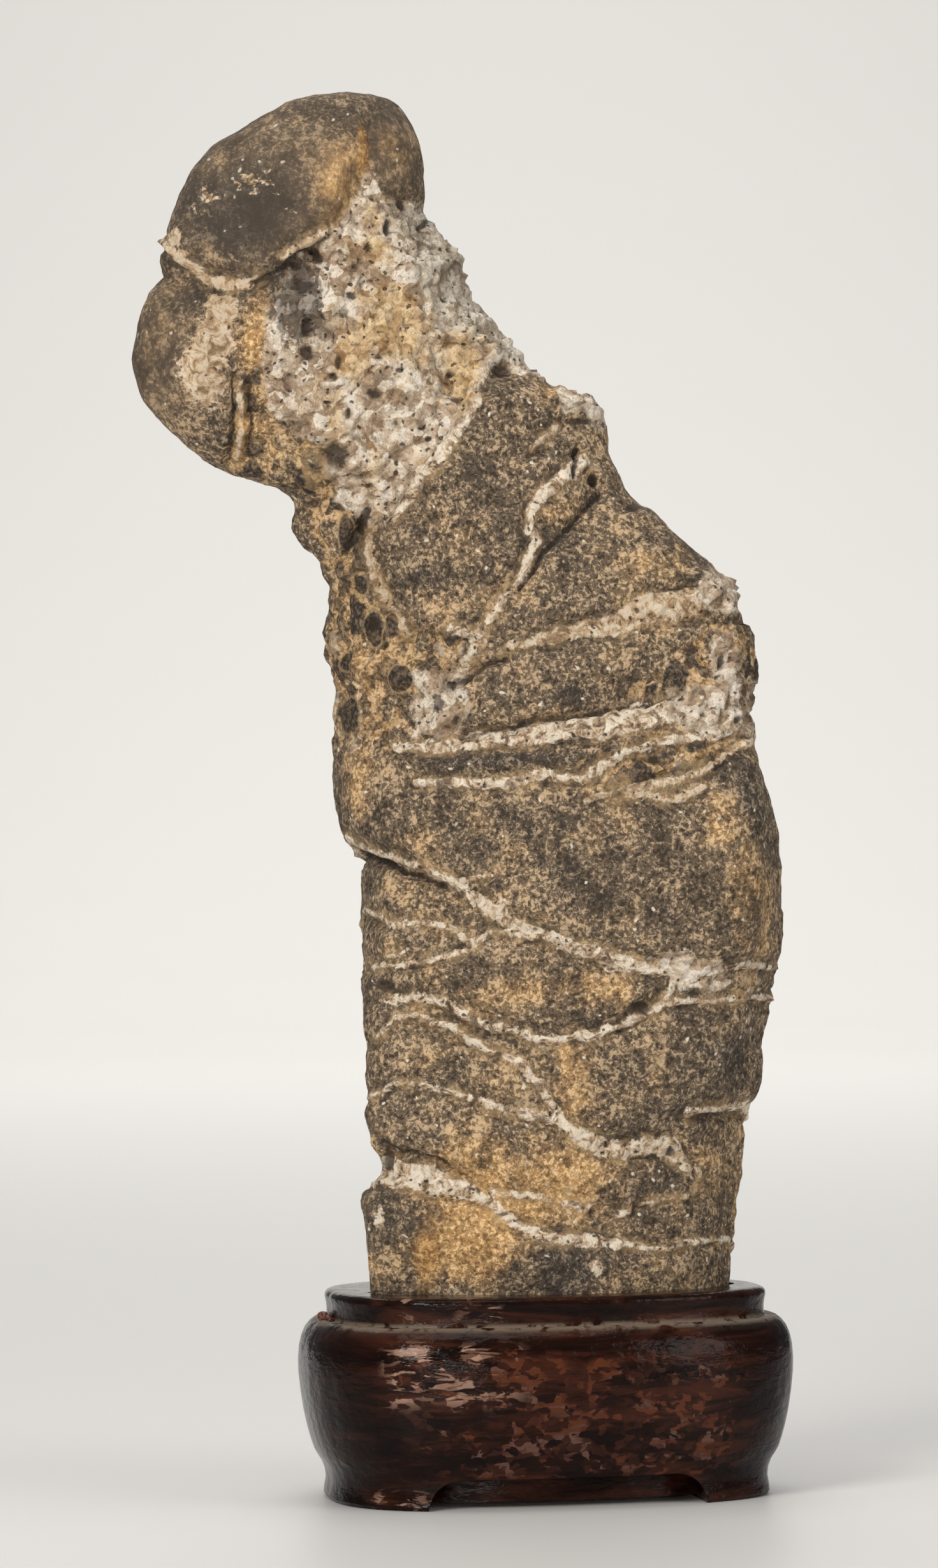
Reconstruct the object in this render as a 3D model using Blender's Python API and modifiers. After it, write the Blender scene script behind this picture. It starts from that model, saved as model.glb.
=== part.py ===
"""A viewing stone in its carved hardwood stand.

The stone is one natural piece: grey-brown sandstone blocks bound by pale quartz seams, leaning to the
left and ending in a rounded head over a rough quartz neck. It stands in a socket cut into the top of
an oval hardwood stand with a raised rim, a round belly and two broad feet with an arch between them.

The long side of the stand lies along X and its front faces -Y. The stone is modelled facing its viewer,
then turned a little on the stand. The object stands on the plane z = 0, and the origin is under the middle
of its bounding box, so the stand is off to the right of it.
"""

import math
from collections import namedtuple

import bmesh
import bpy
import numpy as np
from mathutils import Matrix, Vector, noise

MM = 0.001

# Where the middle of the stand is, in millimetres.
STAND_X = 13.1
STAND_Y = 0.0
# The stand, in millimetres. Its plan is an oval with squared ends, deeper on the left than on the right.
STAND_HALF_LENGTH = 39.6
STAND_HALF_DEPTH = 30.0
STAND_HEIGHT = 33.3
PLAN_SQUARENESS = 2.7
PLAN_TAPER = 0.14
PLAN_SEGMENTS = 60
RIM_HALF_LENGTH = 35.3
SHOULDER_HEIGHT = 28.8
# Half length of the oval at each height, from the sole up over the foot, belly, shoulder and rim.
STAND_PROFILE = (
    (35.1, 0.0),
    (35.7, 0.6),
    (35.3, 3.2),
    (35.6, 4.8),
    (36.3, 6.2),
    (37.2, 7.6),
    (38.2, 11.0),
    (39.2, 16.5),
    (STAND_HALF_LENGTH, 21.5),
    (39.3, 24.8),
    (38.7, 26.8),
    (37.6, 28.3),
    (36.4, SHOULDER_HEIGHT),
    (RIM_HALF_LENGTH - 0.1, SHOULDER_HEIGHT),
    (RIM_HALF_LENGTH - 0.3, 30.6),
    (RIM_HALF_LENGTH, 32.2),
    (RIM_HALF_LENGTH - 0.3, 32.9),
    (RIM_HALF_LENGTH - 1.2, STAND_HEIGHT),
)
ARCH_HALF_WIDTH = 22.5
ARCH_HEIGHT = 5.0
ARCH_DEPTH = 6.0
CORE_LIFT = 0.9
CORE_OVERLAP = 4.0
ARCH_SHOULDER = 5.5
SOCKET_DEPTH = 5.0
SOCKET_FLOOR = STAND_HEIGHT - SOCKET_DEPTH
SOCKET_CLEARANCE = 0.8

# The stone, in millimetres from the stand's axis as its viewer sees it: u to the right, z up.
STONE_TURN = math.radians(-8.0)
STONE_SHIFT = 0.5
SEAT_GAP = 0.3
STONE_BASE = SOCKET_FLOOR + SEAT_GAP
STONE_TOP = 226.3
LEFT_EDGE = (
    (-28.0, 28.0), (-28.6, 33.0), (-30.4, 41.0), (-31.0, 45.6), (-31.8, 49.0), (-30.4, 50.2),
    (-27.4, 51.6), (-28.2, 54.6), (-29.4, 57.6), (-28.8, 65.5), (-29.3, 74.5), (-29.7, 83.0),
    (-29.2, 86.4), (-30.4, 90.0), (-30.2, 96.0), (-30.4, 101.5), (-30.4, 103.2), (-32.9, 104.8),
    (-34.3, 106.4), (-34.7, 114.0), (-34.9, 120.5), (-33.9, 126.0), (-33.4, 129.5), (-35.5, 136.5),
    (-35.3, 140.0), (-33.9, 143.0), (-34.9, 148.0), (-35.8, 151.0), (-38.6, 153.2), (-39.7, 155.5),
    (-39.0, 158.5), (-40.7, 161.5), (-45.2, 162.8), (-50.2, 164.6), (-55.3, 167.2), (-60.2, 171.6),
    (-64.4, 176.6), (-66.0, 183.0), (-64.6, 190.2), (-62.4, 195.2), (-61.4, 197.2), (-61.0, 199.5),
    (-59.6, 205.0), (-57.4, 211.0), (-54.8, 217.0), (-51.0, 220.9), (-44.0, 223.8), (-37.7, 225.4),
    (-34.0, 226.0), (-29.7, 226.3),
)
RIGHT_EDGE = (
    (29.4, 28.0), (29.4, 34.0), (29.9, 37.6), (31.3, 42.5), (30.6, 46.2), (31.6, 51.0), (32.3, 57.0),
    (33.0, 61.5), (34.8, 63.6), (35.0, 69.5), (35.5, 74.5), (36.9, 77.5), (37.5, 85.6), (38.1, 91.0),
    (37.7, 95.0), (38.3, 101.0), (37.5, 107.0), (36.0, 112.0), (34.6, 117.0), (34.1, 122.0),
    (33.3, 125.0), (32.9, 128.8), (34.5, 130.6), (34.8, 135.0), (33.6, 139.6), (31.2, 141.2),
    (31.6, 143.5), (29.6, 147.0), (27.6, 149.3), (26.2, 149.9), (22.6, 153.9), (17.4, 158.1),
    (14.0, 160.4), (12.2, 165.2), (10.7, 167.0), (10.9, 171.5), (11.0, 174.2), (7.6, 176.0),
    (3.0, 177.4), (0.8, 179.0), (-2.6, 183.4), (-6.6, 187.9), (-10.9, 194.2), (-12.2, 197.5),
    (-12.8, 200.4), (-16.6, 203.3), (-18.2, 208.0), (-18.5, 215.0), (-19.6, 220.4), (-21.8, 224.4),
    (-24.2, 225.8), (-28.5, 226.3),
)
# Half depth of the stone, and how far its middle lies behind the stand's axis, at each height.
HALF_DEPTH = (
    (18.5, 28.0), (19.0, 45.0), (21.0, 70.0), (23.5, 95.0), (23.0, 118.0), (21.0, 138.0), (18.0, 155.0),
    (17.0, 170.0), (18.5, 185.0), (19.0, 200.0), (18.0, 211.0), (15.5, 218.5), (12.0, 223.0),
    (8.5, 225.2), (5.0, 226.0), (1.6, 226.3),
)
MIDDLE_DEPTH = ((0.0, 28.0), (1.0, 95.0), (0.5, 140.0), (-1.5, 175.0), (-1.0, 205.0), (0.5, 226.3))
# Directions that the stone's flat sides face, in degrees round the vertical from the right-hand side.
SIDES = (-112.0, -66.0, -12.0, 34.0, 78.0, 128.0, 176.0)
SIDE_FLATNESS = ((11.0, 28.0), (11.0, 150.0), (6.0, 185.0), (4.0, 205.0), (3.0, 226.3))
SIDE_TWIST = 13.0
SIDE_WAVER = 0.09
# The bumps and notches of the left and right edges reach only part of the way round the stone.
EDGE_SPREAD = 7.0
EDGE_REACH = 0.5
EDGE_WANDER = 0.3

# A seam is a line across the stone where two blocks meet. Its path runs left to right, so that a
# positive step lifts the block above it. The groove is its depth, and the reach how far the step fades.
Seam = namedtuple("Seam", "path groove width step reach")
SEAMS = (
    Seam(
        ((-62, 197.5), (-55, 197), (-48, 195.2), (-43, 198), (-36, 202), (-31, 206), (-28, 214)),
        2.4, 2.0, 1.6, 9,
    ),
    Seam(((-25.5, 226), (-26.5, 220), (-26.5, 214), (-24, 209.5), (-18, 208)), 1.0, 1.8, 0.6, 6),
    Seam(((-47, 162), (-46, 172), (-47.5, 182), (-46, 192)), 1.6, 1.6, 0.8, 6),
    Seam(((-30, 152), (-27, 156), (-20, 164), (-13, 173), (-8.5, 181.5)), 0.5, 1.3, -2.6, 9),
    Seam(((-16, 130), (-10, 138.5), (-4, 149), (1, 154.5), (9, 162)), 1.4, 1.5, 0.5, 6),
    Seam(((-27, 155), (-26.5, 148), (-24, 141.5), (-18, 137), (-14, 131)), 1.0, 1.6, 1.3, 7),
    Seam(((-16, 131), (-6, 136), (4, 139), (14, 140.5), (24, 141.5), (33, 141)), 1.2, 1.5, 1.2, 7),
    Seam(((-18, 120.5), (-8, 122.4), (2, 124.6), (11, 127), (19, 130.5), (27, 136)), 1.3, 1.6, -2.0, 7),
    Seam(((-24, 116), (-8, 115.2), (6, 115), (16, 118), (26, 120.5), (34, 122)), 0.8, 1.6, -0.8, 6),
    Seam(((8, 111), (16, 113), (24, 116), (32, 121)), 0.7, 1.3, 0.9, 6),
    Seam(
        (
            (-34, 106), (-29, 104), (-21, 101.2), (-14, 98.3), (-8, 93.2), (0, 89.8), (10, 86), (20, 84.6),
            (38, 84),
        ),
        1.2, 1.5, 2.2, 10,
    ),
    Seam(((-30, 92.5), (-22, 92), (-15, 90.8), (-12, 89.5)), 0.7, 1.2, 0.6, 5),
    Seam(((-29, 85.5), (-20, 86.4), (-13, 88.8)), 0.8, 1.2, -0.6, 5),
    Seam(
        (
            (-28, 81), (-19, 79.8), (-12, 77.2), (-4, 74.6), (2, 73), (9, 74), (15, 77), (20, 80.2),
            (38, 80.5),
        ),
        0.9, 1.4, 1.2, 7,
    ),
    Seam(
        (
            (-29, 74), (-20, 77.8), (-12, 73.4), (-5, 70.4), (0, 66), (4, 60.5), (11, 55.4), (19, 55.8),
            (25, 51.6),
        ),
        0.8, 1.4, 0.8, 7,
    ),
    Seam(((-28.5, 64.8), (-20, 66), (-12, 63.4), (-4, 61), (2, 60)), 0.7, 1.2, 0.7, 6),
    Seam(((19, 60.6), (26, 61.4), (36, 62.8)), 0.9, 1.3, 1.8, 7),
    Seam(((-29, 55), (-22, 54.4), (-13, 52), (-4, 49), (4, 48), (9, 46)), 0.8, 1.5, 1.2, 6),
    Seam(
        ((-31, 50), (-22, 48.6), (-14, 47.6), (-8, 45.4), (-2, 42.2), (6, 41.6), (16, 40), (31, 40.5)),
        1.0, 1.5, -2.0, 8,
    ),
)
# A hollow or a lump: its middle, its half sizes and its depth, in millimetres. A lump's depth is negative.
Hollow = namedtuple("Hollow", "u z half_u half_z depth")
HOLLOWS = (
    Hollow(-6.5, 181.3, 2.2, 1.7, 2.4),
    Hollow(-36.0, 186.5, 2.6, 4.2, 2.2),
    Hollow(-37.0, 200.8, 2.2, 2.0, 1.8),
    Hollow(-28.0, 178.0, 3.0, 1.6, 1.4),
    Hollow(8.8, 163.4, 1.6, 2.0, 1.6),
    Hollow(13.5, 129.5, 4.6, 3.0, 2.6),
    Hollow(28.5, 135.0, 2.0, 3.0, 1.3),
    Hollow(29.0, 145.5, 3.4, 3.2, -1.6),
    Hollow(-28.0, 141.5, 2.4, 3.0, -1.6),
    Hollow(-24.0, 133.0, 4.0, 2.6, -1.0),
    Hollow(-38.5, 156.0, 2.6, 3.2, -1.2),
    Hollow(5.5, 175.0, 3.2, 2.2, -1.2),
    Hollow(-18.5, 198.0, 5.0, 3.2, -1.4),
    Hollow(-54.0, 184.0, 7.0, 9.0, -1.2),
    Hollow(-5.0, 118.0, 8.0, 1.8, -0.9),
)
# The rough quartz of the neck: the corners of the area, and how far its lumps stand out.
QUARTZ_AREA = (
    (-28, 214), (-31, 206), (-37, 202), (-44, 197), (-45, 186), (-44, 176), (-38, 171), (-34, 162),
    (-30, 153), (-20, 164), (-13, 173), (-7, 183), (0, 182), (-19, 209),
)
QUARTZ_SINK = 1.2
QUARTZ_LUMP = 1.3
QUARTZ_LUMP_SIZE = 5.0
QUARTZ_EDGE = 2.0
BACK_DIP = 0.22
BACK_WAVE = 5.0
BACK_WAVE_LENGTH = 26.0
SWELL = 1.1
SWELL_LENGTH = 24.0
DENT = 4.0
DENT_LENGTH = 17.0
DENT_CLEARANCE = 11.0
DENTS_BELOW = 196.0
SOCKET_MARGIN = 9.0
SEAM_FADE_LENGTH = 17.0
# The eye of the viewer, to whom the seams and hollows lie as they are given here.
VIEWER_U = -12.1
VIEWER_Z = 98.0
VIEWER_DISTANCE = 1000.0
SEAM_MIN = 0.08

STONE_SEGMENTS = 128
STONE_LEVELS = 170
STONE_CROWDING = 1.7
STONE_VOXEL = 1.0
STONE_TRIANGLES = 7000

Finish = namedtuple("Finish", "name color roughness")
SANDSTONE = Finish("sandstone", (0.20, 0.155, 0.105), 0.8)
ROSEWOOD = Finish("dark polished rosewood", (0.045, 0.016, 0.010), 0.28)


def clear_scene():
    for obj in list(bpy.data.objects):
        bpy.data.objects.remove(obj, do_unlink=True)


def new_collection(name):
    collection = bpy.data.collections.new(name)
    bpy.context.scene.collection.children.link(collection)
    return collection


def new_material(finish):
    material = bpy.data.materials.new(finish.name)
    material.use_nodes = True
    shader = material.node_tree.nodes["Principled BSDF"]
    shader.inputs["Base Color"].default_value = (*finish.color, 1.0)
    shader.inputs["Roughness"].default_value = finish.roughness
    shader.inputs["Metallic"].default_value = 0.0
    return material


def new_object(name, mesh, collection, finish=None):
    obj = bpy.data.objects.new(name, mesh)
    collection.objects.link(obj)
    if finish:
        mesh.materials.append(new_material(finish))
    return obj


def mesh_from(bm, name):
    mesh = bpy.data.meshes.new(name)
    bm.to_mesh(mesh)
    bm.free()
    return mesh


def evaluated_mesh(obj, name):
    """The mesh of an object with its modifiers applied."""
    graph = bpy.context.evaluated_depsgraph_get()
    return bpy.data.meshes.new_from_object(obj.evaluated_get(graph), depsgraph=graph)


def make_cutter(obj):
    obj.hide_render = True
    obj.display_type = "WIRE"
    return obj


# The stand


def plan_point(angle, half_length):
    """A point of the stand's oval plan whose half length is given, at an angle round it."""
    power = 2.0 / PLAN_SQUARENESS
    half_depth = half_length - STAND_HALF_LENGTH + STAND_HALF_DEPTH
    along = math.copysign(abs(math.cos(angle)) ** power, math.cos(angle))
    across = math.copysign(abs(math.sin(angle)) ** power, math.sin(angle))
    return half_length * along, half_depth * across * (1.0 - PLAN_TAPER * along)


def stack_rings(rings):
    """A closed solid through rings of equally many points, each a list of (x, y, z) in millimetres."""
    count, top = len(rings[0]), len(rings) - 1
    bm = bmesh.new()
    bmesh.ops.create_cone(bm, cap_ends=True, segments=count, radius1=1.0, radius2=1.0, depth=2.0)
    upright = [edge for edge in bm.edges if abs(edge.verts[0].co.z - edge.verts[1].co.z) > 1.0]
    bmesh.ops.subdivide_edges(bm, edges=upright, cuts=top - 1, use_grid_fill=True)
    for vert in bm.verts:
        level = round((vert.co.z + 1.0) / 2.0 * top)
        turn = math.atan2(vert.co.y, vert.co.x) / (2 * math.pi)
        vert.co = Vector(rings[level][round(turn * count) % count]) * MM
    return bm


def stand_ring(half_length, height):
    angles = [2 * math.pi * i / PLAN_SEGMENTS for i in range(PLAN_SEGMENTS)]
    return [(*plan_point(angle, half_length), height) for angle in angles]


def arch_outline():
    """Half of the arch between the feet, from the floor up and in to the middle, as (x, z)."""
    rise = [
        (
            ARCH_HALF_WIDTH - ARCH_SHOULDER * (1 - math.cos(t)),
            ARCH_HEIGHT * math.sin(t),
        )
        for t in (math.radians(a) for a in range(0, 91, 15))
    ]
    return [(ARCH_HALF_WIDTH, -1.0), *rise]


def arch_cutter(collection):
    """The two arches as one bar through the stand, from front to back."""
    right = arch_outline()
    outline = right + [(-x, z) for x, z in reversed(right)]
    bm = bmesh.new()
    front = [bm.verts.new(Vector((x, -2 * STAND_HALF_DEPTH, z)) * MM) for x, z in outline]
    face = bm.faces.new(front)
    swept = bmesh.ops.extrude_face_region(bm, geom=[face])
    moved = [item for item in swept["geom"] if isinstance(item, bmesh.types.BMVert)]
    bmesh.ops.translate(bm, verts=moved, vec=Vector((0, 4 * STAND_HALF_DEPTH, 0)) * MM)
    bmesh.ops.recalc_face_normals(bm, faces=bm.faces)
    return make_cutter(new_object("arch_cutter", mesh_from(bm, "arch_cutter"), collection))


def core_block(collection):
    """The body of the stand behind the arches, which stops just clear of the floor."""
    half_length = STAND_PROFILE[1][0] - ARCH_DEPTH
    rings = [stand_ring(half_length, CORE_LIFT), stand_ring(half_length, ARCH_HEIGHT + CORE_OVERLAP)]
    return make_cutter(new_object("core_block", mesh_from(stack_rings(rings), "core_block"), collection))


def socket_ring(height):
    """The edge of the socket: the outline of the stone's foot with a little clearance, at one height."""
    turn = Matrix.Rotation(STONE_TURN, 3, "Z")
    foot = stone_ring(STONE_BASE + height - SOCKET_FLOOR, SOCKET_CLEARANCE, PLAN_SEGMENTS)
    return [turn @ Vector((u, v, height)) for u, v, _ in foot]


def add_boolean(obj, operation, other):
    modifier = obj.modifiers.new(other.name, "BOOLEAN")
    modifier.operation = operation
    modifier.object = other
    modifier.solver = "EXACT"


def build_stand(parts, cutters):
    rings = [stand_ring(half_length, height) for half_length, height in STAND_PROFILE]
    rings += [socket_ring(STAND_HEIGHT), socket_ring(SOCKET_FLOOR)]
    stand = new_object("stand", mesh_from(stack_rings(rings), "stand"), parts, ROSEWOOD)
    add_boolean(stand, "DIFFERENCE", arch_cutter(cutters))
    add_boolean(stand, "UNION", core_block(cutters))
    stand.data.shade_smooth()
    stand.data.set_sharp_from_angle(angle=math.radians(40))
    return stand


# The stone


def at_height(pairs, z):
    """The first value of each (value, height) pair, read between the heights."""
    values, heights = zip(*pairs)
    return float(np.interp(z, heights, values))


def around_height(pairs, z):
    """The same value, evened out over a stretch above and below that height."""
    return sum(at_height(pairs, z + share * EDGE_SPREAD) for share in (-1, -0.5, 0, 0.5, 1)) / 5


def side_radius(angle, z):
    """Distance from the middle to the wall of a rounded, many-sided column of about unit size."""
    flatness = at_height(SIDE_FLATNESS, z)
    total = 0.0
    for i, side in enumerate(SIDES):
        facing = math.radians(side + SIDE_TWIST * math.sin(z / 31.0 + 1.7 * i))
        distance = 1.0 + SIDE_WAVER * math.sin(z / 22.0 + 2.1 * i)
        total += max(0.0, math.cos(angle - facing) / distance) ** flatness
    return total ** (-1.0 / flatness)


def stone_ring(z, grow=0.0, segments=STONE_SEGMENTS):
    """The outline of the stone at one height, fitted between its left and right edges."""
    angles = [2 * math.pi * i / segments for i in range(segments)]
    radii = [side_radius(angle, z) for angle in angles]
    across = np.array([r * math.cos(a) for r, a in zip(radii, angles)])
    deep = np.array([r * math.sin(a) for r, a in zip(radii, angles)])
    half_depth = at_height(HALF_DEPTH, z) + grow
    middle = at_height(MIDDLE_DEPTH, z)
    v = middle + half_depth * (2 * (deep - deep.min()) / np.ptp(deep) - 1)
    edge_depth = middle + EDGE_WANDER * half_depth * math.sin(z / 11.0)
    away = np.minimum(1, np.abs(v - edge_depth) / (EDGE_REACH * half_depth)) ** 2
    left, right = at_height(LEFT_EDGE, z), at_height(RIGHT_EDGE, z)
    left = left + away * max(0, around_height(LEFT_EDGE, z) - left) - grow
    right = right + away * min(0, around_height(RIGHT_EDGE, z) - right) + grow
    u = STONE_SHIFT + left + (right - left) * (across - across.min()) / np.ptp(across)
    return [(a, b, z) for a, b in zip(u, v)]


def column_of_stone():
    """The stone without its seams, as an upright column of rings that crowd together at the top."""
    shares = [1 - (1 - i / STONE_LEVELS) ** STONE_CROWDING for i in range(STONE_LEVELS + 1)]
    return stack_rings([stone_ring(STONE_BASE + (STONE_TOP - STONE_BASE) * share) for share in shares])


def path_distances(u, z, path):
    """For each point: its distance to a path, its distance from the nearest stretch's line, positive on
    the left of the path's direction, and how far it lies beyond that stretch's ends."""
    nearest = np.full(u.shape, np.inf)
    offset = np.zeros(u.shape)
    for (u0, z0), (u1, z1) in zip(path, path[1:]):
        du, dz = u1 - u0, z1 - z0
        length = math.hypot(du, dz)
        share = np.clip(((u - u0) * du + (z - z0) * dz) / length**2, 0, 1)
        distance = np.hypot(u - u0 - share * du, z - z0 - share * dz)
        closer = distance < nearest
        side = ((z - z0) * du - (u - u0) * dz) / length
        offset = np.where(closer, side, offset)
        nearest = np.where(closer, distance, nearest)
    beyond = np.sqrt(np.maximum(nearest**2 - offset**2, 0))
    return nearest, offset, beyond


def inside_area(u, z, corners):
    """How far each point lies inside a closed outline: positive inside, negative outside."""
    inside = np.zeros(u.shape, bool)
    closed = (*corners, corners[0])
    for (u0, z0), (u1, z1) in zip(closed, closed[1:]):
        if z0 == z1:
            continue
        crosses = (z0 > z) != (z1 > z)
        inside ^= crosses & (u < (u1 - u0) * (z - z0) / (z1 - z0) + u0)
    distance = path_distances(u, z, closed)[0]
    return np.where(inside, distance, -distance)


def noise_at(points, size, shift=0.0):
    """Smooth noise from -1 to 1 at points in millimetres, with features of the given size."""
    return np.array([noise.noise(Vector(p) / size + Vector((shift, shift, shift))) for p in points])


def seam_strength(points, index):
    """How strongly a seam is seen where the stone turns away from its viewer, which varies along it."""
    return noise_at(points, SEAM_FADE_LENGTH, 11.0 + index)


def as_seen(points):
    """Where the viewer sees each point against the upright plane through the stone's middle."""
    nearness = VIEWER_DISTANCE / (VIEWER_DISTANCE + points[:, 1])
    u = VIEWER_U + (points[:, 0] - STONE_SHIFT - VIEWER_U) * nearness
    z = VIEWER_Z + (points[:, 2] - VIEWER_Z) * nearness
    return u, z


def relief(points, facing):
    """How far the surface stands out at each point, in millimetres: seams, hollows, quartz and swells."""
    v = points[:, 1]
    u, z = as_seen(points)
    behind = np.clip(v, 0, None)
    wave = noise_at(points, BACK_WAVE_LENGTH, 7.3) * BACK_WAVE
    z = z + BACK_DIP * behind + wave * np.clip(behind / 12.0, 0, 1)
    height = SWELL * noise_at(points, SWELL_LENGTH) * facing
    beside_edge = np.clip(np.abs(v) / DENT_CLEARANCE, 0, 1) ** 3
    below_head = np.clip((DENTS_BELOW - points[:, 2]) / DENT_CLEARANCE, 0, 1)
    dents = np.maximum(0, noise_at(points, DENT_LENGTH, 5.0)) * (1 - facing)
    height -= DENT * dents * beside_edge * below_head
    for i, seam in enumerate(SEAMS):
        nearest, offset, beyond = path_distances(u, z, seam.path)
        presence = np.clip(facing + seam_strength(points, i), SEAM_MIN, 1)
        ends = np.exp(-((beyond / 4.0) ** 2))
        height -= seam.groove * presence * np.exp(-((nearest / seam.width) ** 2))
        step = np.tanh(offset / seam.width) * np.exp(-np.abs(offset) / seam.reach)
        height += 0.5 * seam.step * step * ends * presence
    for hollow in HOLLOWS:
        span = ((u - hollow.u) / hollow.half_u) ** 2 + ((z - hollow.z) / hollow.half_z) ** 2
        height -= hollow.depth * np.exp(-span)
    quartz = np.clip(inside_area(u, z, QUARTZ_AREA) / QUARTZ_EDGE, 0, 1)
    lumps = noise_at(points, QUARTZ_LUMP_SIZE, 3.1) * QUARTZ_LUMP
    return height + quartz * (lumps - QUARTZ_SINK * facing)


def carve(mesh):
    """Moves each vertex of the stone in or out by its relief, but not in the socket or close to it."""
    count = len(mesh.vertices)
    points, normals = np.empty(count * 3), np.empty(count * 3)
    mesh.vertices.foreach_get("co", points)
    mesh.vertex_normals.foreach_get("vector", normals)
    points, normals = points.reshape(-1, 3) / MM, normals.reshape(-1, 3)
    facing = np.abs(normals[:, 1])
    above_socket = np.clip((points[:, 2] - STAND_HEIGHT - 1.0) / SOCKET_MARGIN, 0, 1)
    moved = relief(points, facing) * above_socket
    points += normals * moved[:, None]
    mesh.vertices.foreach_set("co", (points * MM).ravel())
    mesh.update()


def build_stone(parts, cutters):
    rough = make_cutter(new_object("rough_stone", mesh_from(column_of_stone(), "rough_stone"), cutters))
    remesh = rough.modifiers.new("even_faces", "REMESH")
    remesh.mode = "VOXEL"
    remesh.voxel_size = STONE_VOXEL * MM
    mesh = evaluated_mesh(rough, "stone")
    carve(mesh)
    stone = new_object("stone", mesh, parts, SANDSTONE)
    stone.rotation_euler.z = STONE_TURN
    mesh.shade_smooth()
    decimate = stone.modifiers.new("fewer_faces", "DECIMATE")
    decimate.ratio = STONE_TRIANGLES / (2 * len(mesh.polygons))
    decimate.use_collapse_triangulate = True
    return stone


def main():
    clear_scene()
    parts = new_collection("viewing_stone_on_stand")
    cutters = new_collection("cutters")
    build_stand(parts, cutters)
    build_stone(parts, cutters)
    for obj in [*parts.objects, *cutters.objects]:
        obj.location = Vector((STAND_X, STAND_Y, 0)) * MM


main()
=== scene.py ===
"""Finish of the viewing stone and its hardwood stand, and the plain studio that it stands in."""

import math
from collections import namedtuple

import bmesh
import bpy
import numpy as np
from bpy.props import FloatProperty, FloatVectorProperty, IntProperty, PointerProperty
from mathutils import Matrix, Vector, noise


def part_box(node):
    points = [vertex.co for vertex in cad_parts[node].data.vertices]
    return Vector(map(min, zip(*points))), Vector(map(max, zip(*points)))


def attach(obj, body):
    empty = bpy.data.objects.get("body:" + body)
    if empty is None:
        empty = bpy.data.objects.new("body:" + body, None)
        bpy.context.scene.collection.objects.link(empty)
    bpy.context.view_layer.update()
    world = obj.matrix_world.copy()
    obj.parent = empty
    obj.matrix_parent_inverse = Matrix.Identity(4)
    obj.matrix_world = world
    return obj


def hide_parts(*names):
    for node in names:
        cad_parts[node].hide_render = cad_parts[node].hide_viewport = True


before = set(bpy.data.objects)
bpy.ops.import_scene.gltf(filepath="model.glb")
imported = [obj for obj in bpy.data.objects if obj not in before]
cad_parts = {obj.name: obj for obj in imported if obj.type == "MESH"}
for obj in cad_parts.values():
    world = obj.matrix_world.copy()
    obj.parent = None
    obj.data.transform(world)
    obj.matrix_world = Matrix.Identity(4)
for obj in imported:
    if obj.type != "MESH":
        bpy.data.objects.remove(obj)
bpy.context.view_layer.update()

bl_info = {
    "name": "Viewing stone on a hardwood stand",
    "version": (1, 0, 0),
    "blender": (4, 5, 0),
    "location": "View3D > Sidebar > Viewing stone",
    "description": "Adds the sandstone with its quartz seams, the polished stand and a plain studio",
    "category": "Add Mesh",
}

MM = 0.001

# Where the stand's middle is, how the stone is turned on it, and the eye that its pattern faces.
STAND_X = 13.1
STONE_TURN = math.radians(-8.0)
STONE_SHIFT = 0.5
EYE_U = -12.1
EYE_Z = 98.0
EYE_DISTANCE = 1000.0
RIM_Z = 33.3

# The pattern of the stone's face, in millimetres: u to the right of the stand's middle, z above the table.


def table(kind, *rows):
    return tuple(kind(*row) for row in rows)


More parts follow.
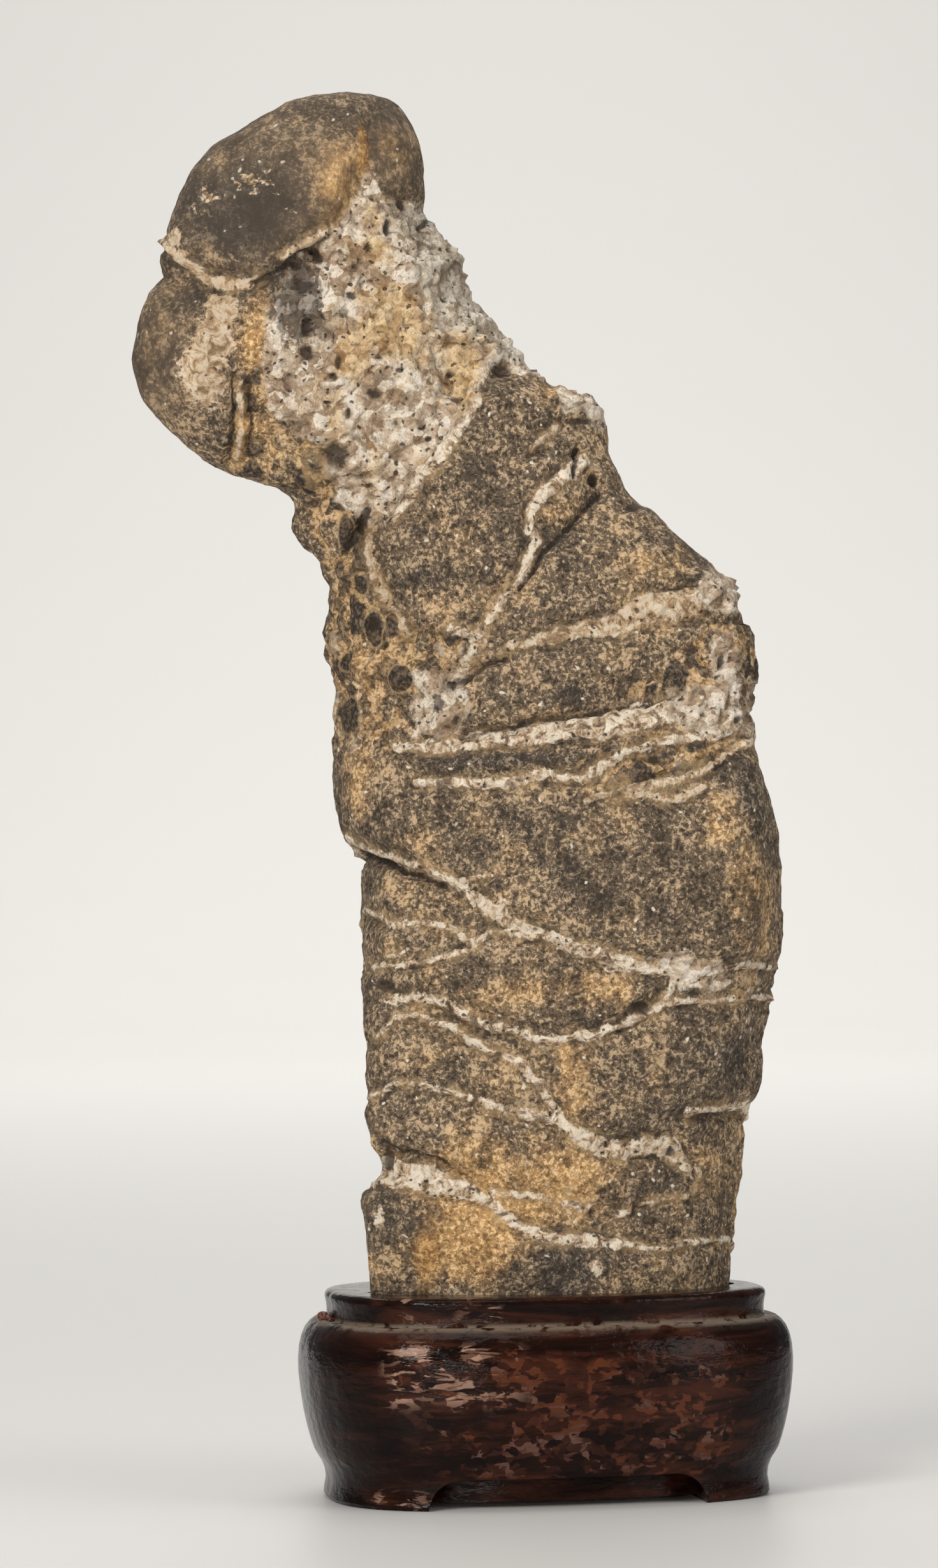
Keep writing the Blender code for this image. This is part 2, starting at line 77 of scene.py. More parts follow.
# A vein is pale quartz in a joint: how tan it is, then its points as (u, z, width).
Vein = namedtuple("Vein", "tan points")
VEINS = table(
    Vein,
    (0.1, ((-9, 182, 1.4), (-10.5, 177, 1.8), (-13, 173, 2.2), (-16, 168, 2.2), (-18.5, 165.5, 2),
        (-22, 160.5, 1.6), (-25, 156.5, 1.4))),
    (0.8, ((-27.5, 158, 1.1), (-28, 154, 0.9), (-27.5, 150, 1), (-26.5, 146, 1.2), (-24, 142.5, 1),
        (-22, 139, 0.8))),
    (0.3, ((7, 166.5, 2), (3.2, 163.8, 2), (0, 161.2, 1.8), (-1.5, 158.6, 1.6), (-1.8, 156, 1.3),
        (-0.5, 153.9, 1), (-2, 150.7, 1.1), (-3.6, 147.6, 1.2), (-5.7, 145, 1.1), (-7.8, 142.3, 1),
        (-9.4, 140.2, 1), (-11, 137, 1.1), (-12.5, 134.4, 1), (-14.6, 130.8, 0.8))),
    (0.6, ((24, 143.5, 5), (17, 142.5, 4.4), (12, 140.2, 3), (5, 139, 2), (0, 137.8, 1.5),
        (-4, 136.8, 1.1), (-7, 135.8, 0.9))),
    (0.1, ((-15, 139.5, 1), (-13, 138.9, 1.4), (-11, 138, 1))),
    (0.2, ((-24, 120.5, 1.1), (-20, 120.5, 1.5), (-15, 121, 2), (-10, 121.5, 2.4), (-5, 122, 2.5),
        (0, 122.5, 3), (5, 123.5, 3.6), (10, 123.5, 4), (16, 125.5, 4.4), (21, 126.5, 4))),
    (0.1, ((-21, 115, 1), (-15, 115, 1.2), (-10, 114.6, 1.2), (-5, 114.8, 1.2), (0, 116, 1.3),
        (3, 115.5, 1.2), (6, 115.5, 1.1), (10, 117.5, 1.2), (14, 119.5, 1.2), (20, 121.5, 1.3),
        (26, 122, 1.3), (34, 123, 0.9))),
    (0.6, ((7, 111.5, 0.8), (10, 112.5, 1), (15, 113.8, 1), (20, 114.5, 1), (25, 116, 0.9),
        (29, 118.5, 0.9), (34, 121, 0.9))),
    (0.8, ((10, 111.5, 0.7), (16, 112.5, 0.9), (22, 112, 1.3), (26, 114, 0.9))),
    (0.25, ((-32.5, 105.8, 0.8), (-30, 104.5, 1), (-27, 103.5, 0.9), (-24, 102.5, 0.7), (-20, 101, 0.6),
        (-17, 99.5, 0.9), (-14, 98, 1.3), (-12, 96.5, 1.5), (-9, 94, 1.9), (-6, 92, 1.8), (-2, 91, 1.6),
        (0, 89.8, 1.5), (3, 88.5, 1.7), (7, 87.2, 2), (10, 86.2, 2), (13, 85, 2.2), (17, 84.3, 1.6),
        (20, 83.8, 1.6), (24, 84.5, 1.2), (38, 84.5, 0.7))),
    (0.5, ((-14, 98, 0.8), (-12, 99.2, 0.8), (-10, 99.6, 0.6))),
    (0.3, ((-29, 94.5, 0.6), (-25, 92, 0.8), (-20, 92, 0.9), (-15, 91, 0.9), (-12, 89, 0.8))),
    (0.3, ((-29, 85.5, 0.6), (-24, 85.3, 0.6), (-20, 85.8, 0.6), (-17, 86.8, 0.6), (-14, 87.5, 0.7),
        (-12, 88.5, 0.6), (-9, 90.5, 0.6), (-5, 90.2, 0.6), (-1, 89.5, 0.6))),
    (0.2, ((-26, 86.8, 0.5), (-23, 87.6, 0.5), (-20, 87.8, 0.5))),
    (0.15, ((-27, 80.2, 0.8), (-21, 79.8, 1.2), (-18, 79.8, 1.2), (-15, 78.3, 1.2), (-12, 76.5, 1.2),
        (-9, 75.2, 1.2), (-6, 74.8, 1), (-3, 74, 1), (-1, 73, 1), (3, 73, 1.2), (6, 73.8, 1.1), (8, 73, 1),
        (10, 75, 0.9), (13, 75.5, 1), (16, 77, 1), (19, 79, 1), (20, 81, 1), (21, 83.5, 1))),
    (0.3, ((20, 78.8, 0.6), (30, 79.5, 0.7), (38, 79.6, 0.8))),
    (0.35, ((-28, 73, 0.6), (-24, 77, 0.7), (-21, 77.5, 0.8), (-18, 76, 0.9), (-15, 75, 1), (-12, 72.8, 1),
        (-9, 71, 1.1), (-6, 70.2, 1.3), (-4, 69.8, 1.3), (-3, 68, 1), (-1, 66, 1.1), (0, 64, 1.2),
        (1, 62, 1.3), (2, 60.5, 1.4), (3, 59, 1.8), (5, 57.5, 2.2), (8, 56, 2.8), (10, 55.5, 3),
        (13, 55, 2.6), (17, 55.5, 2.4), (20, 55.5, 3), (22, 53, 1.8), (24.5, 51, 1.3))),
    (0.1, ((-28.5, 64.3, 0.6), (-25, 65.8, 0.7), (-20, 66, 0.8), (-15, 65, 0.8), (-12, 63.5, 0.9),
        (-9, 62.5, 1), (-5, 61.5, 1.1), (-2, 60.8, 1.2), (2, 60, 1.2))),
    (0.0, ((22, 60.5, 0.8), (23, 61.5, 0.9), (27, 61.3, 1.1), (30, 61.8, 1.2), (35, 62.4, 1.2))),
    (0.15, ((-28, 52, 4), (-22, 51.5, 4), (-17, 50, 3.4), (-12, 48.5, 2.4), (-9, 46.5, 1.3), (-6, 44, 1.2),
        (-3, 42.3, 1.3), (0, 41.2, 1.6), (3, 41, 1.8), (6, 41.2, 2), (8, 40.8, 2), (10, 40.5, 1.5),
        (14, 40.2, 0.8), (18, 39.2, 0.7), (22, 40, 0.8), (30, 41.2, 0.8))),
    (0.2, ((-9, 48.3, 1), (-5, 48, 0.8), (-1, 47.7, 0.8), (3, 46.5, 0.8), (7, 46, 0.9))),
    (0.3, ((10, 44, 0.6), (13, 45, 0.7), (14, 47.5, 0.6))),
    (0.5, ((15, 46.5, 0.5), (19, 47, 0.6), (24, 47.6, 0.7))),
    (1.0, ((-61, 202.6, 0.8), (-56.6, 198.4, 1.2), (-54.5, 196.8, 1.4), (-51, 195.5, 1.4),
        (-48, 195.5, 1.1), (-45.7, 196.6, 0.9))),
    (1.0, ((-41.5, 199.8, 0.7), (-37.3, 202, 1), (-34.3, 204.2, 0.9))),
    (0.9, ((-1.5, 168.6, 0.5), (0.6, 170.6, 0.5), (2.7, 172.2, 0.5))),
    (0.7, ((-48.3, 180, 0.8), (-48.6, 174, 0.7), (-49.2, 167, 0.6))),
)
# The dark lines are cracks and grooves, and painted shadows under ledges and edges. Each has its depth,
# then its points as (u, z, width).
DarkLine = namedtuple("DarkLine", "depth points")
CRACKS_AND_SHADOWS = table(
    DarkLine,
    (0.9, ((-49.4, 181, 0.3), (-49.8, 176, 0.7), (-50.4, 171, 0.6), (-50.8, 166, 0.3))),
    (0.9, ((-47.4, 180, 0.3), (-47, 175, 0.7), (-47.2, 168, 0.3))),
    # Painted shadow under the edge of the cap.
    (0.9, ((-47, 195.4, 0.4), (-43.4, 196.8, 0.9), (-40, 199, 1), (-37, 200.8, 0.7), (-33.5, 203.8, 0.4))),
    (0.5, ((-61.4, 197, 0.9), (-58.4, 196, 0.7), (-55, 194.8, 0.5))),
    (0.35, ((-26.7, 224, 0.1), (-27, 219, 0.3), (-27.4, 214, 0.4))),
    (1.0, ((9, 161.4, 0.9), (5.8, 158, 0.8), (3.2, 155, 0.8), (0.6, 152.3, 0.8), (-1, 149.7, 0.7),
        (-4, 146, 0.5))),
    (1.0, ((6.2, 168.5, 0.8), (5.3, 164, 0.8))),
    (1.0, ((-6, 135, 0.7), (-10, 133.2, 1), (-15, 130.5, 0.7))),
    # Painted shadow under the undercut lower edge of the lens above it.
    (0.9, ((22, 129, 0.6), (15, 127.3, 0.8), (8, 126.2, 0.7), (0, 124.8, 0.7), (-8, 123.2, 0.7),
        (-14, 121.8, 0.5))),
    (1.2, ((-28.5, 158.5, 1), (-30, 155, 1.5), (-32, 152, 0.9))),
    # Painted shadow under the ledge of the vein above it.
    (1.0, ((-34, 105, 0.8), (-30, 103.2, 1.1), (-27, 102.2, 0.9), (-22, 100.6, 0.6), (-16, 97.8, 0.5))),
    (0.7, ((-17, 77.6, 0.5), (-10, 73.9, 1.1), (-4, 72.4, 0.7))),
    # Partly a dark line and partly painted shadow along the upper edge of the wide vein below it.
    (0.8, ((-28, 58, 0.6), (-24.5, 55.2, 0.9), (-19, 54, 0.6), (-12, 50.6, 0.4))),
    # Painted shadow under a ledge.
    (0.7, ((21, 60, 0.5), (27, 60.3, 0.8), (34, 61.2, 0.8))),
    (0.6, ((11, 56.9, 0.4), (16, 57.4, 0.5), (21, 56.6, 0.5), (24, 53, 0.5))),
    (0.5, ((6, 74.6, 0.4), (13, 76.6, 0.7), (18.4, 79.6, 0.6))),
    (0.6, ((12, 112.6, 0.4), (18, 115.6, 0.6), (26, 117.4, 0.8), (33, 122, 0.6))),
    (0.6, ((26, 141.3, 0.5), (30, 140.6, 0.9), (34.5, 140.4, 0.7))),
    (0.5, ((-33.5, 147.5, 0.6), (-30, 146.8, 0.8), (-27.5, 144, 0.6))),
    (0.5, ((-21, 133.8, 0.7), (-17, 134.2, 0.7), (-13.4, 131.6, 0.5))),
)
# A pit is a small hole: its middle, half width, half height and depth. A negative depth makes a lump.
Pit = namedtuple("Pit", "u z half_u half_z depth")
PITS = table(
    Pit,
    (-6, 181.6, 2, 1.5, 1.6), (-36.4, 200, 1.1, 1, 1.2), (-38.6, 196, 2, 1.7, 1.5),
    (-37.6, 188.6, 1.1, 2, 1.6), (-37.4, 184.6, 1.4, 1.7, 1.5), (-27.2, 201.4, 0.7, 1.2, 1.2),
    (-33.6, 180.6, 1.3, 0.7, 1.1), (-32.4, 183, 0.8, 1.5, 1), (-27, 177.6, 1.9, 0.9, 1.2),
    (-13.6, 177, 0.8, 1, 1), (-11.6, 185.6, 0.6, 0.5, 0.8), (-14.4, 180.6, 1, 0.8, 0.9),
    (-19, 172.4, 0.9, 0.6, 0.8), (-18, 170.5, 0.6, 0.6, 0.9), (-22.4, 169.4, 0.6, 0.6, 0.9),
    (-30.2, 193.8, 1.1, 0.7, 0.9), (-29, 199.6, 0.4, 0.6, 0.8), (-30, 198.4, 0.5, 0.5, 0.8),
    (-26.4, 183.6, 1.1, 0.7, 0.7), (-22.6, 181.4, 1, 0.6, 0.6), (-31.4, 174.6, 0.7, 1.2, 1),
    (-34.6, 176.4, 0.6, 0.5, 0.8), (-33, 167.4, 2.2, 2.8, 0.8), (-21.8, 208, 0.9, 1, 0.8),
    (-18.4, 205.4, 0.9, 0.7, 0.6), (-24.6, 204.8, 0.7, 1.4, 0.8), (-15.4, 193, 0.8, 0.6, 0.6),
    (-19.6, 197.6, 3.4, 2.3, -0.9), (-28, 209.4, 2.2, 2.4, -0.7), (-16.6, 205, 2.2, 2, -0.6),
    (8.7, 163.4, 0.8, 1.2, 1.6), (6.4, 172.8, 2.6, 0.9, 0.8), (3, 176.6, 1.1, 1.6, -0.8),
    (-27.4, 140.4, 1, 1.7, 1.6), (-25.4, 137.2, 0.7, 0.6, 0.9), (-23, 131.4, 1.8, 2, -0.9),
    (-29.6, 133, 1.6, 2.2, -0.8), (-25.6, 136, 1.9, 1.5, -0.6), (28.8, 134.4, 0.8, 1.4, 1.4),
    (28.6, 131.6, 0.5, 0.5, 0.8), (31.4, 124.4, 0.9, 0.9, 1.2), (27.4, 126.4, 0.5, 0.4, 0.7),
    (17.6, 118.5, 2, 0.8, 0.7), (-26.4, 82, 2, 1.6, 0.9), (15.4, 78, 2.3, 1.5, 0.8),
    (9.6, 56.4, 0.6, 0.5, 0.9), (9.2, 54.9, 0.5, 0.4, 0.8), (14.7, 54.6, 0.5, 0.4, 0.7),
    (19.9, 54.8, 0.8, 0.9, 1.2), (23.8, 51.6, 0.5, 0.7, 0.9), (7.5, 45.5, 0.6, 0.5, 0.8),
    (3.6, 40.9, 0.5, 0.4, 0.7), (-18.2, 52.2, 0.5, 0.5, 0.7), (-19.4, 50.6, 0.6, 0.5, 0.8),
    (-26, 53.6, 1.4, 2.2, 1.2), (10.6, 85.4, 0.5, 0.5, -0.6), (15, 159, 1.6, 1, 0.5),
    (-30.6, 126.4, 1.8, 2.2, -0.7), (-17.4, 127.2, 0.6, 0.5, 0.7), (-14.6, 124.8, 0.5, 0.5, 0.7),
    (22.6, 128.4, 0.7, 0.5, 0.7), (19.4, 127.2, 0.5, 0.4, 0.6), (15.2, 125, 0.5, 0.4, 0.6),
)
# Areas of rough, pitted quartz.
QUARTZ = (
    ((-40, 199), (-34, 204), (-30, 209), (-27, 215), (-25, 209), (-18, 208.5), (-8, 193), (2, 184),
     (-2, 183), (-9, 181), (-10, 177), (-13, 173), (-16, 168), (-20, 165), (-24, 159.5), (-27, 156),
     (-33, 160), (-34, 169), (-40, 171), (-44, 175), (-45, 183), (-44, 192)),
    ((26, 148), (28, 149.5), (31, 148.5), (33, 143), (31, 141.5), (27, 142), (25, 145)),
    ((27.6, 139), (31.4, 138.6), (32, 134), (31.4, 130.6), (28, 130.6), (26.6, 135)),
    ((20, 129.4), (34, 131), (34.6, 122.4), (25, 122.4), (20, 125)),
    ((-20.5, 133), (-13.5, 133), (-12, 128), (-14, 122.4), (-21, 122.4)),
    ((-9, 184.6), (1, 184), (0.4, 179.4), (-3, 179.6), (-5, 183.4), (-8, 183.4)),
    ((2.6, 178), (11.6, 176.6), (11, 172.6), (9, 171), (7, 174.6), (3.4, 174.4)),
    ((18, 86.6), (22, 87.6), (25, 85.6), (28, 86.4), (29.6, 82), (27, 80.4), (24, 81.6), (21.4, 80.6)),
)
# Areas of broken fragments held in quartz.
BRECCIA = (
    ((-42, 172), (-34, 171), (-28, 157), (-25, 146), (-20, 139.6), (-11, 141), (-9, 135), (-13, 121),
     (-36, 119.6), (-37, 150)),
    ((12, 128.6), (20, 134), (27, 140.6), (36, 141), (36, 121), (27, 117), (7, 111), (5, 118), (20, 124)),
    ((-50, 181), (-43, 183), (-44, 176), (-40, 170), (-42, 161), (-52, 163)),
)
# A tint is a soft-edged patch: its middle, half width, half height and strength.
Tint = namedtuple("Tint", "u z half_u half_z strength")
OCHRE = table(
    Tint,
    (-12, 40, 10, 7, 1), (-5, 50, 15, 7, 0.78), (4.5, 68, 3, 8, 0.45), (-6, 66, 12, 7, 0.18),
    (27, 109, 3.4, 5, 0.3), (-45.5, 187, 3, 8, 0.6), (-31, 209, 5, 11, 0.5), (4, 81, 10, 4, 0.36),
    (-16, 80, 9, 5, 0.3), (28, 50, 4, 8, 0.35), (16, 149.6, 8, 2.4, 0.22), (-16, 109, 6, 5, 0.15),
    (33, 96, 4, 10, 0.6), (6, 104, 5, 4, 0.25), (20, 44, 9, 5, 0.25), (-17, 150, 6, 9, 0.2),
    (22, 153, 5, 2, 0.15), (5, 158, 5, 4, 0.2), (-29, 132, 6, 10, 0.5), (14, 92, 10, 4, 0.2),
    (-62, 186, 3, 10, 0.2), (-22, 219, 4, 5, 0.2), (-30, 113, 3, 6, 0.3), (-36, 164, 5, 8, 0.35),
    (-46, 172, 5, 6, 0.4), (4, 177, 4, 3, 0.3),
)
DARK = table(
    Tint,
    (-14, 58, 9, 3.6, 0.3), (2.6, 36, 3, 6, 1.3), (-27.5, 40, 2.4, 9, 0.6), (20, 69, 10, 9, 0.3),
    # The patch at (0, 107) is painted shade under the band of veins above it.
    (18, 64, 8, 5, 0.2), (0, 107, 18, 6, 0.35), (4, 129, 14, 2, 0.5), (14, 134, 6, 3, 0.3),
    (33, 113, 3, 6, 0.8), (-52, 206, 7, 11, 0.75), (-46, 212, 5, 5, 0.3), (-23, 216, 3, 8, 0.2),
    (-35.8, 162, 3, 7, 0.5), (-16, 136.5, 3.4, 3.6, 0.5), (-23, 131.4, 2, 2, 0.6), (-32.4, 125, 2, 5, 0.5),
    (24, 117.6, 6, 2, 0.5), (12, 114.6, 6, 2, 0.5), (-6, 118.3, 12, 1.4, 0.8), (20, 50, 8, 4, 0.3),
    (-27, 97, 3, 4, 0.35), (-31, 100, 2, 4, 0.4), (13, 98, 8, 5, 0.2), (-38, 167, 4, 5, 0.4),
    (-54, 174, 5, 4, 0.35), (-38.8, 193, 4, 8, 1.5), (-27.4, 139.6, 1.9, 3.1, 1.4),
    (-23, 131.6, 2.2, 2.4, 1.3), (-31.6, 155, 1.5, 4, 1.3), (-29.4, 147, 1.8, 2.2, 1.2),
    (-30.6, 126, 2.2, 3, 1.3), (-17, 127.4, 1.4, 1.6, 1.2), (-31.6, 134.6, 1.5, 2.4, 1.1),
    (30, 72, 4, 7, 0.3), (12, 36, 14, 3.4, 0.25), (-20, 88.5, 7, 2, 0.45), (-14, 74, 6, 1.4, 0.5),
    (-22, 95, 5, 2, 0.3), (22, 152, 3, 6, 0.2),
)
RUST = table(
    Tint,
    (-19.5, 38, 2.6, 5.4, 1), (-28.4, 217.5, 1.3, 4.6, 0.9), (-25.4, 53, 1.5, 2.6, 0.9),
    (17, 142.5, 3, 2, 0.6), (-7.4, 94.4, 2, 2.4, 0.5), (-24, 188, 5, 4, 0.8), (-31, 184, 2.6, 5, 0.7),
    (-13, 180.5, 3, 5.6, 0.8), (-27.4, 200.6, 3.6, 2.4, 0.7), (-24, 194, 5, 2.4, 0.6),
    (-33, 172, 2, 5, 0.5), (-27.4, 165, 1.6, 6, 0.5), (-20, 168.6, 1.6, 2.6, 0.5), (12, 55, 3, 1.6, 0.35),
    (-17, 45, 4, 1.4, 0.3), (-24, 187, 9, 8, 0.35), (-12, 184, 4, 5, 0.4), (-26, 203, 3, 4, 0.3),
    (-36, 178, 4, 4, 0.3), (-48.2, 172, 1, 7, 0.6), (-45, 193, 2, 3, 0.4), (-27.6, 208, 2, 4, 0.4),
)
PALE = table(
    Tint,
    (-59, 203.4, 1.3, 2, 1), (-57.8, 200, 1.4, 1.1, 0.8), (-27.3, 44.5, 1.2, 2.4, 0.8),
    (7.8, 36.4, 1.2, 1.9, 1), (11.8, 85.3, 2.2, 1.4, 1), (-7, 94.4, 1.6, 2.4, 0.9),
    (33, 80.5, 4, 1.2, 0.45), (-11.6, 88.6, 1.2, 2, 0.55), (-54, 209, 3, 4, 0.5),
    (-46, 212.6, 4, 3.4, 0.54), (-51, 199.6, 3.4, 1.6, 0.5), (-40, 208, 4, 4, 0.28),
    (-52, 188, 3.6, 5.4, 1.0), (-55.5, 183, 3.6, 4.6, 0.8), (-53, 178, 5.4, 3.4, 0.7),
    (-51.5, 192.4, 3, 2, 0.7), (-56, 201, 2, 4, 0.3), (-27.6, 211, 1, 2.6, 0.9), (24, 112.6, 3, 1, 0.4),
    (-22, 126, 4, 3, 0.3), (-3, 72, 6, 6, 0.1), (18, 83, 9, 4, 0.3), (-18, 62, 9, 9, 0.06),
    (0, 47, 8, 3, 0.2),
)
GREY = table(
    Tint,
    (-16, 199, 5, 9, 1), (-10, 190, 5, 5, 1), (-3, 184.6, 4, 2.6, 1), (-22, 207, 4, 4, 0.8),
    (-35.6, 187.4, 1.5, 2, 1), (-25, 180, 2.6, 2, 0.6), (-12, 172, 2, 4, 0.7), (7, 175, 4, 2, 0.8),
    (24, 123.4, 5, 1.6, 0.7), (-20, 176, 2.4, 6, 0.4),
)
# The smooth, water-worn lobes of the head.
LOBES = table(Tint, (-44, 212, 19, 15, 1.2), (-23, 218, 6, 10, 1), (-61.5, 184, 6.5, 12, 1.1))


class StoneSizes(bpy.types.PropertyGroup):
    voxel: FloatProperty(
        name="Mesh size", description="Distance between the points of the stone's mesh", default=1.1 * MM,
        min=0.4 * MM, unit="LENGTH",
    )
    grain: FloatProperty(
        name="Sand grain", description="Size of the grains of sand", default=0.7 * MM, min=0.1 * MM,
        unit="LENGTH",
    )
    grain_relief: FloatProperty(
        name="Grain relief", description="How far the grains stand out", default=0.5 * MM, min=0.0,
        unit="LENGTH",
    )
    sandstone: FloatVectorProperty(
        name="Sandstone", description="Middle colour of the sandstone", subtype="COLOR",
        default=(0.146, 0.106, 0.068), min=0.0, max=1.0,
    )
    quartz: FloatVectorProperty(
        name="Quartz", description="Colour of the clean quartz", subtype="COLOR",
        default=(0.68, 0.54, 0.39), min=0.0, max=1.0,
    )


class StandSizes(bpy.types.PropertyGroup):
    segments: IntProperty(
        name="Segments", description="Points round the stand", default=200, min=48,
    )
    wood: FloatVectorProperty(
        name="Wood", description="Middle colour of the wood", subtype="COLOR",
        default=(0.013, 0.0046, 0.003), min=0.0, max=1.0,
    )
    gloss: FloatProperty(
        name="Roughness", description="Roughness of the polish", default=0.15, min=0.0, max=1.0,
        subtype="FACTOR",
    )


# Node graphs


class Value:
    """A number in a node graph, with arithmetic that adds Math nodes."""

    def __init__(self, graph, socket):
        self.graph = graph
        self.socket = socket

    def calc(self, operation, *others):
        inputs = dict(enumerate((self, *others)))
        return self.graph.value("ShaderNodeMath", {"operation": operation}, inputs, "Value")

    def __add__(self, other):
        return self.calc("ADD", other)

    __radd__ = __add__

    def __sub__(self, other):
        return self.calc("SUBTRACT", other)

    def __rsub__(self, other):
        return self.calc("MULTIPLY_ADD", -1.0, other)

    def __mul__(self, other):
        return self.calc("MULTIPLY", other)

    __rmul__ = __mul__

    def larger(self, other):
        return self.calc("MAXIMUM", other)

    def rise(self, low, high):
        """A soft step from 0 at the first number to 1 at the second."""
        settings = {"interpolation_type": "SMOOTHSTEP"}
        inputs = {"Value": self, "From Min": low, "From Max": high}
        return self.graph.value("ShaderNodeMapRange", settings, inputs, "Result")


class Graph:
    """The node graph of one material, on Object coordinates. Its sizes are in millimetres."""

    def __init__(self, name):
        self.material = bpy.data.materials.new(name)
        self.material.use_nodes = True
        self.tree = self.material.node_tree
        self.shader = self.tree.nodes["Principled BSDF"]
        self.place = self.value("ShaderNodeTexCoord", {}, {}, "Object")

    def node(self, kind, settings, inputs):
        made = self.tree.nodes.new(kind)
        for name, setting in settings.items():
            if name == "stops":
                self.set_stops(made.color_ramp, setting)
            else:
                setattr(made, name, setting)
        for name, content in inputs.items():
            self.put(made.inputs[name], content)
        return made

    def set_stops(self, ramp, stops):
        while len(ramp.elements) < len(stops):
            ramp.elements.new(1.0)
        for element, (position, color) in zip(ramp.elements, stops):
            element.position = position
            element.color = (*color, 1.0)

    def put(self, socket, content):
        if isinstance(content, Value):
            self.tree.links.new(content.socket, socket)
        elif hasattr(content, "__len__") and len(content) == 3 and socket.type == "RGBA":
            socket.default_value = (*content, 1.0)
        else:
            socket.default_value = content

    def value(self, kind, settings, inputs, output):
        return Value(self, self.node(kind, settings, inputs).outputs[output])

    def attribute(self, name):
        return self.value("ShaderNodeAttribute", {"attribute_name": name}, {}, "Fac")

    def stretched(self, stretch):
        """Object coordinates times a number along each axis."""
        return self.value("ShaderNodeMapping", {}, {"Vector": self.place, "Scale": stretch}, "Vector")

    def noise(self, size, detail=3.0, roughness=0.55, distortion=0.0, stretch=None):
        """Noise from 0 to 1 whose features are about the given size."""
        inputs = {
            "Vector": self.stretched(stretch) if stretch else self.place, "Scale": 1.0 / (size * MM),
            "Detail": detail, "Roughness": roughness, "Distortion": distortion,
        }
        return self.value("ShaderNodeTexNoise", {}, inputs, "Fac")

    def mottle(self, size, detail=4.0, roughness=0.62, distortion=0.3):
        """The same noise spread to about -1 to 1."""
        return (self.noise(size, detail, roughness, distortion) - 0.5) * 4.0

    def warped(self, size, amount, stretch=(1, 1, 1)):
        """Object coordinates pushed about by noise."""
        place = self.stretched(stretch)
        push = self.value("ShaderNodeTexNoise", {}, {"Vector": place, "Scale": 1.0 / (size * MM)}, "Color")
        inputs = {0: push, 1: (amount * MM, amount * MM, amount * MM), 2: place}
        return self.value("ShaderNodeVectorMath", {"operation": "MULTIPLY_ADD"}, inputs, "Vector")

    def cells(self, size, place, output="Distance", **settings):
        inputs = {"Vector": place, "Scale": 1.0 / (size * MM)}
        return self.value("ShaderNodeTexVoronoi", settings, inputs, output)

    def chance(self, size, place, **settings):
        """A number from 0 to 1 for each cell of about the given size."""
        color = self.cells(size, place, "Color", **settings)
        return self.value("ShaderNodeSeparateColor", {}, {"Color": color}, "Red")

    def mix(self, share, under, over):
        return self.value("ShaderNodeMix", {"data_type": "RGBA"}, {0: share, 6: under, 7: over}, 2)

    def layered(self, color, *layers):
        """A colour with others laid over it, each given as its share and its colour."""
        for share, over in layers:
            color = self.mix(share, color, over)
        return color

    def ramp(self, factor, *stops):
        return self.value("ShaderNodeValToRGB", {"stops": stops}, {"Fac": factor}, "Color")

    def bump(self, height, distance, under=None):
        inputs = {"Height": height, "Distance": distance * MM, "Strength": 1.0}
        if under:
            inputs["Normal"] = under
        return self.value("ShaderNodeBump", {}, inputs, "Normal")

    def finish(self, **sockets):
        for name, content in sockets.items():
            self.put(self.shader.inputs[name.replace("_", " ")], content)
        return self.material


# The pattern of the stone


def to_stone(points):
    """World points in metres as (u, v, z) in millimetres, with v running away from the viewer."""
    x, y, z = (points / MM).T
    x = x - STAND_X
    cos, sin = math.cos(STONE_TURN), math.sin(STONE_TURN)
    return np.column_stack([x * cos + y * sin, y * cos - x * sin, z])


def noise_at(points, size, shift=0.0, octaves=1):
    """Smooth noise from -1 to 1 at points in millimetres, with features of the given size."""
    offset = Vector((shift, 1.7 * shift, 2.3 * shift))
    if octaves == 1:
        return np.array([noise.noise(Vector(p) / size + offset) for p in points])
    return np.array([noise.fractal(Vector(p) / size + offset, 0.9, 2.1, octaves) for p in points])


def as_seen(points, ragged):
    """Where the viewer sees each point, with a ragged edge, and wandering off behind the stone."""
    u, v, z = points.T
    nearness = EYE_DISTANCE / (EYE_DISTANCE + v)
    u = EYE_U + (u - STONE_SHIFT - EYE_U) * nearness
    z = EYE_Z + (z - EYE_Z) * nearness
    behind = np.clip(v, 0, None)
    far = np.clip(behind / 12.0, 0, 1)
    z = z + 0.22 * behind + far * noise_at(points, 26.0, 7.3) * 5.0
    u = u + far * noise_at(points, 30.0, 4.4) * 16.0
    for size, amount in ((6.0, 0.45), (1.9, 0.3)):
        u = u + ragged * amount * noise_at(points, size, 1.7)
        z = z + ragged * amount * noise_at(points, size, 8.9)
    return u, z


def line_distance(u, z, points):
    """For each point, its distance from a line's edge (negative on the line) and its side of the line."""
    nearest = np.full(u.shape, np.inf)
    side = np.zeros(u.shape)
    for (u0, z0, w0), (u1, z1, w1) in zip(points, points[1:]):
        du, dz = u1 - u0, z1 - z0
        length = math.hypot(du, dz)
        share = np.clip(((u - u0) * du + (z - z0) * dz) / length**2, 0, 1)
        distance = np.hypot(u - u0 - share * du, z - z0 - share * dz) - (w0 + share * (w1 - w0)) / 2
        side = np.where(distance < nearest, ((z - z0) * du - (u - u0) * dz) / length, side)
        nearest = np.minimum(nearest, distance)
    return nearest, side


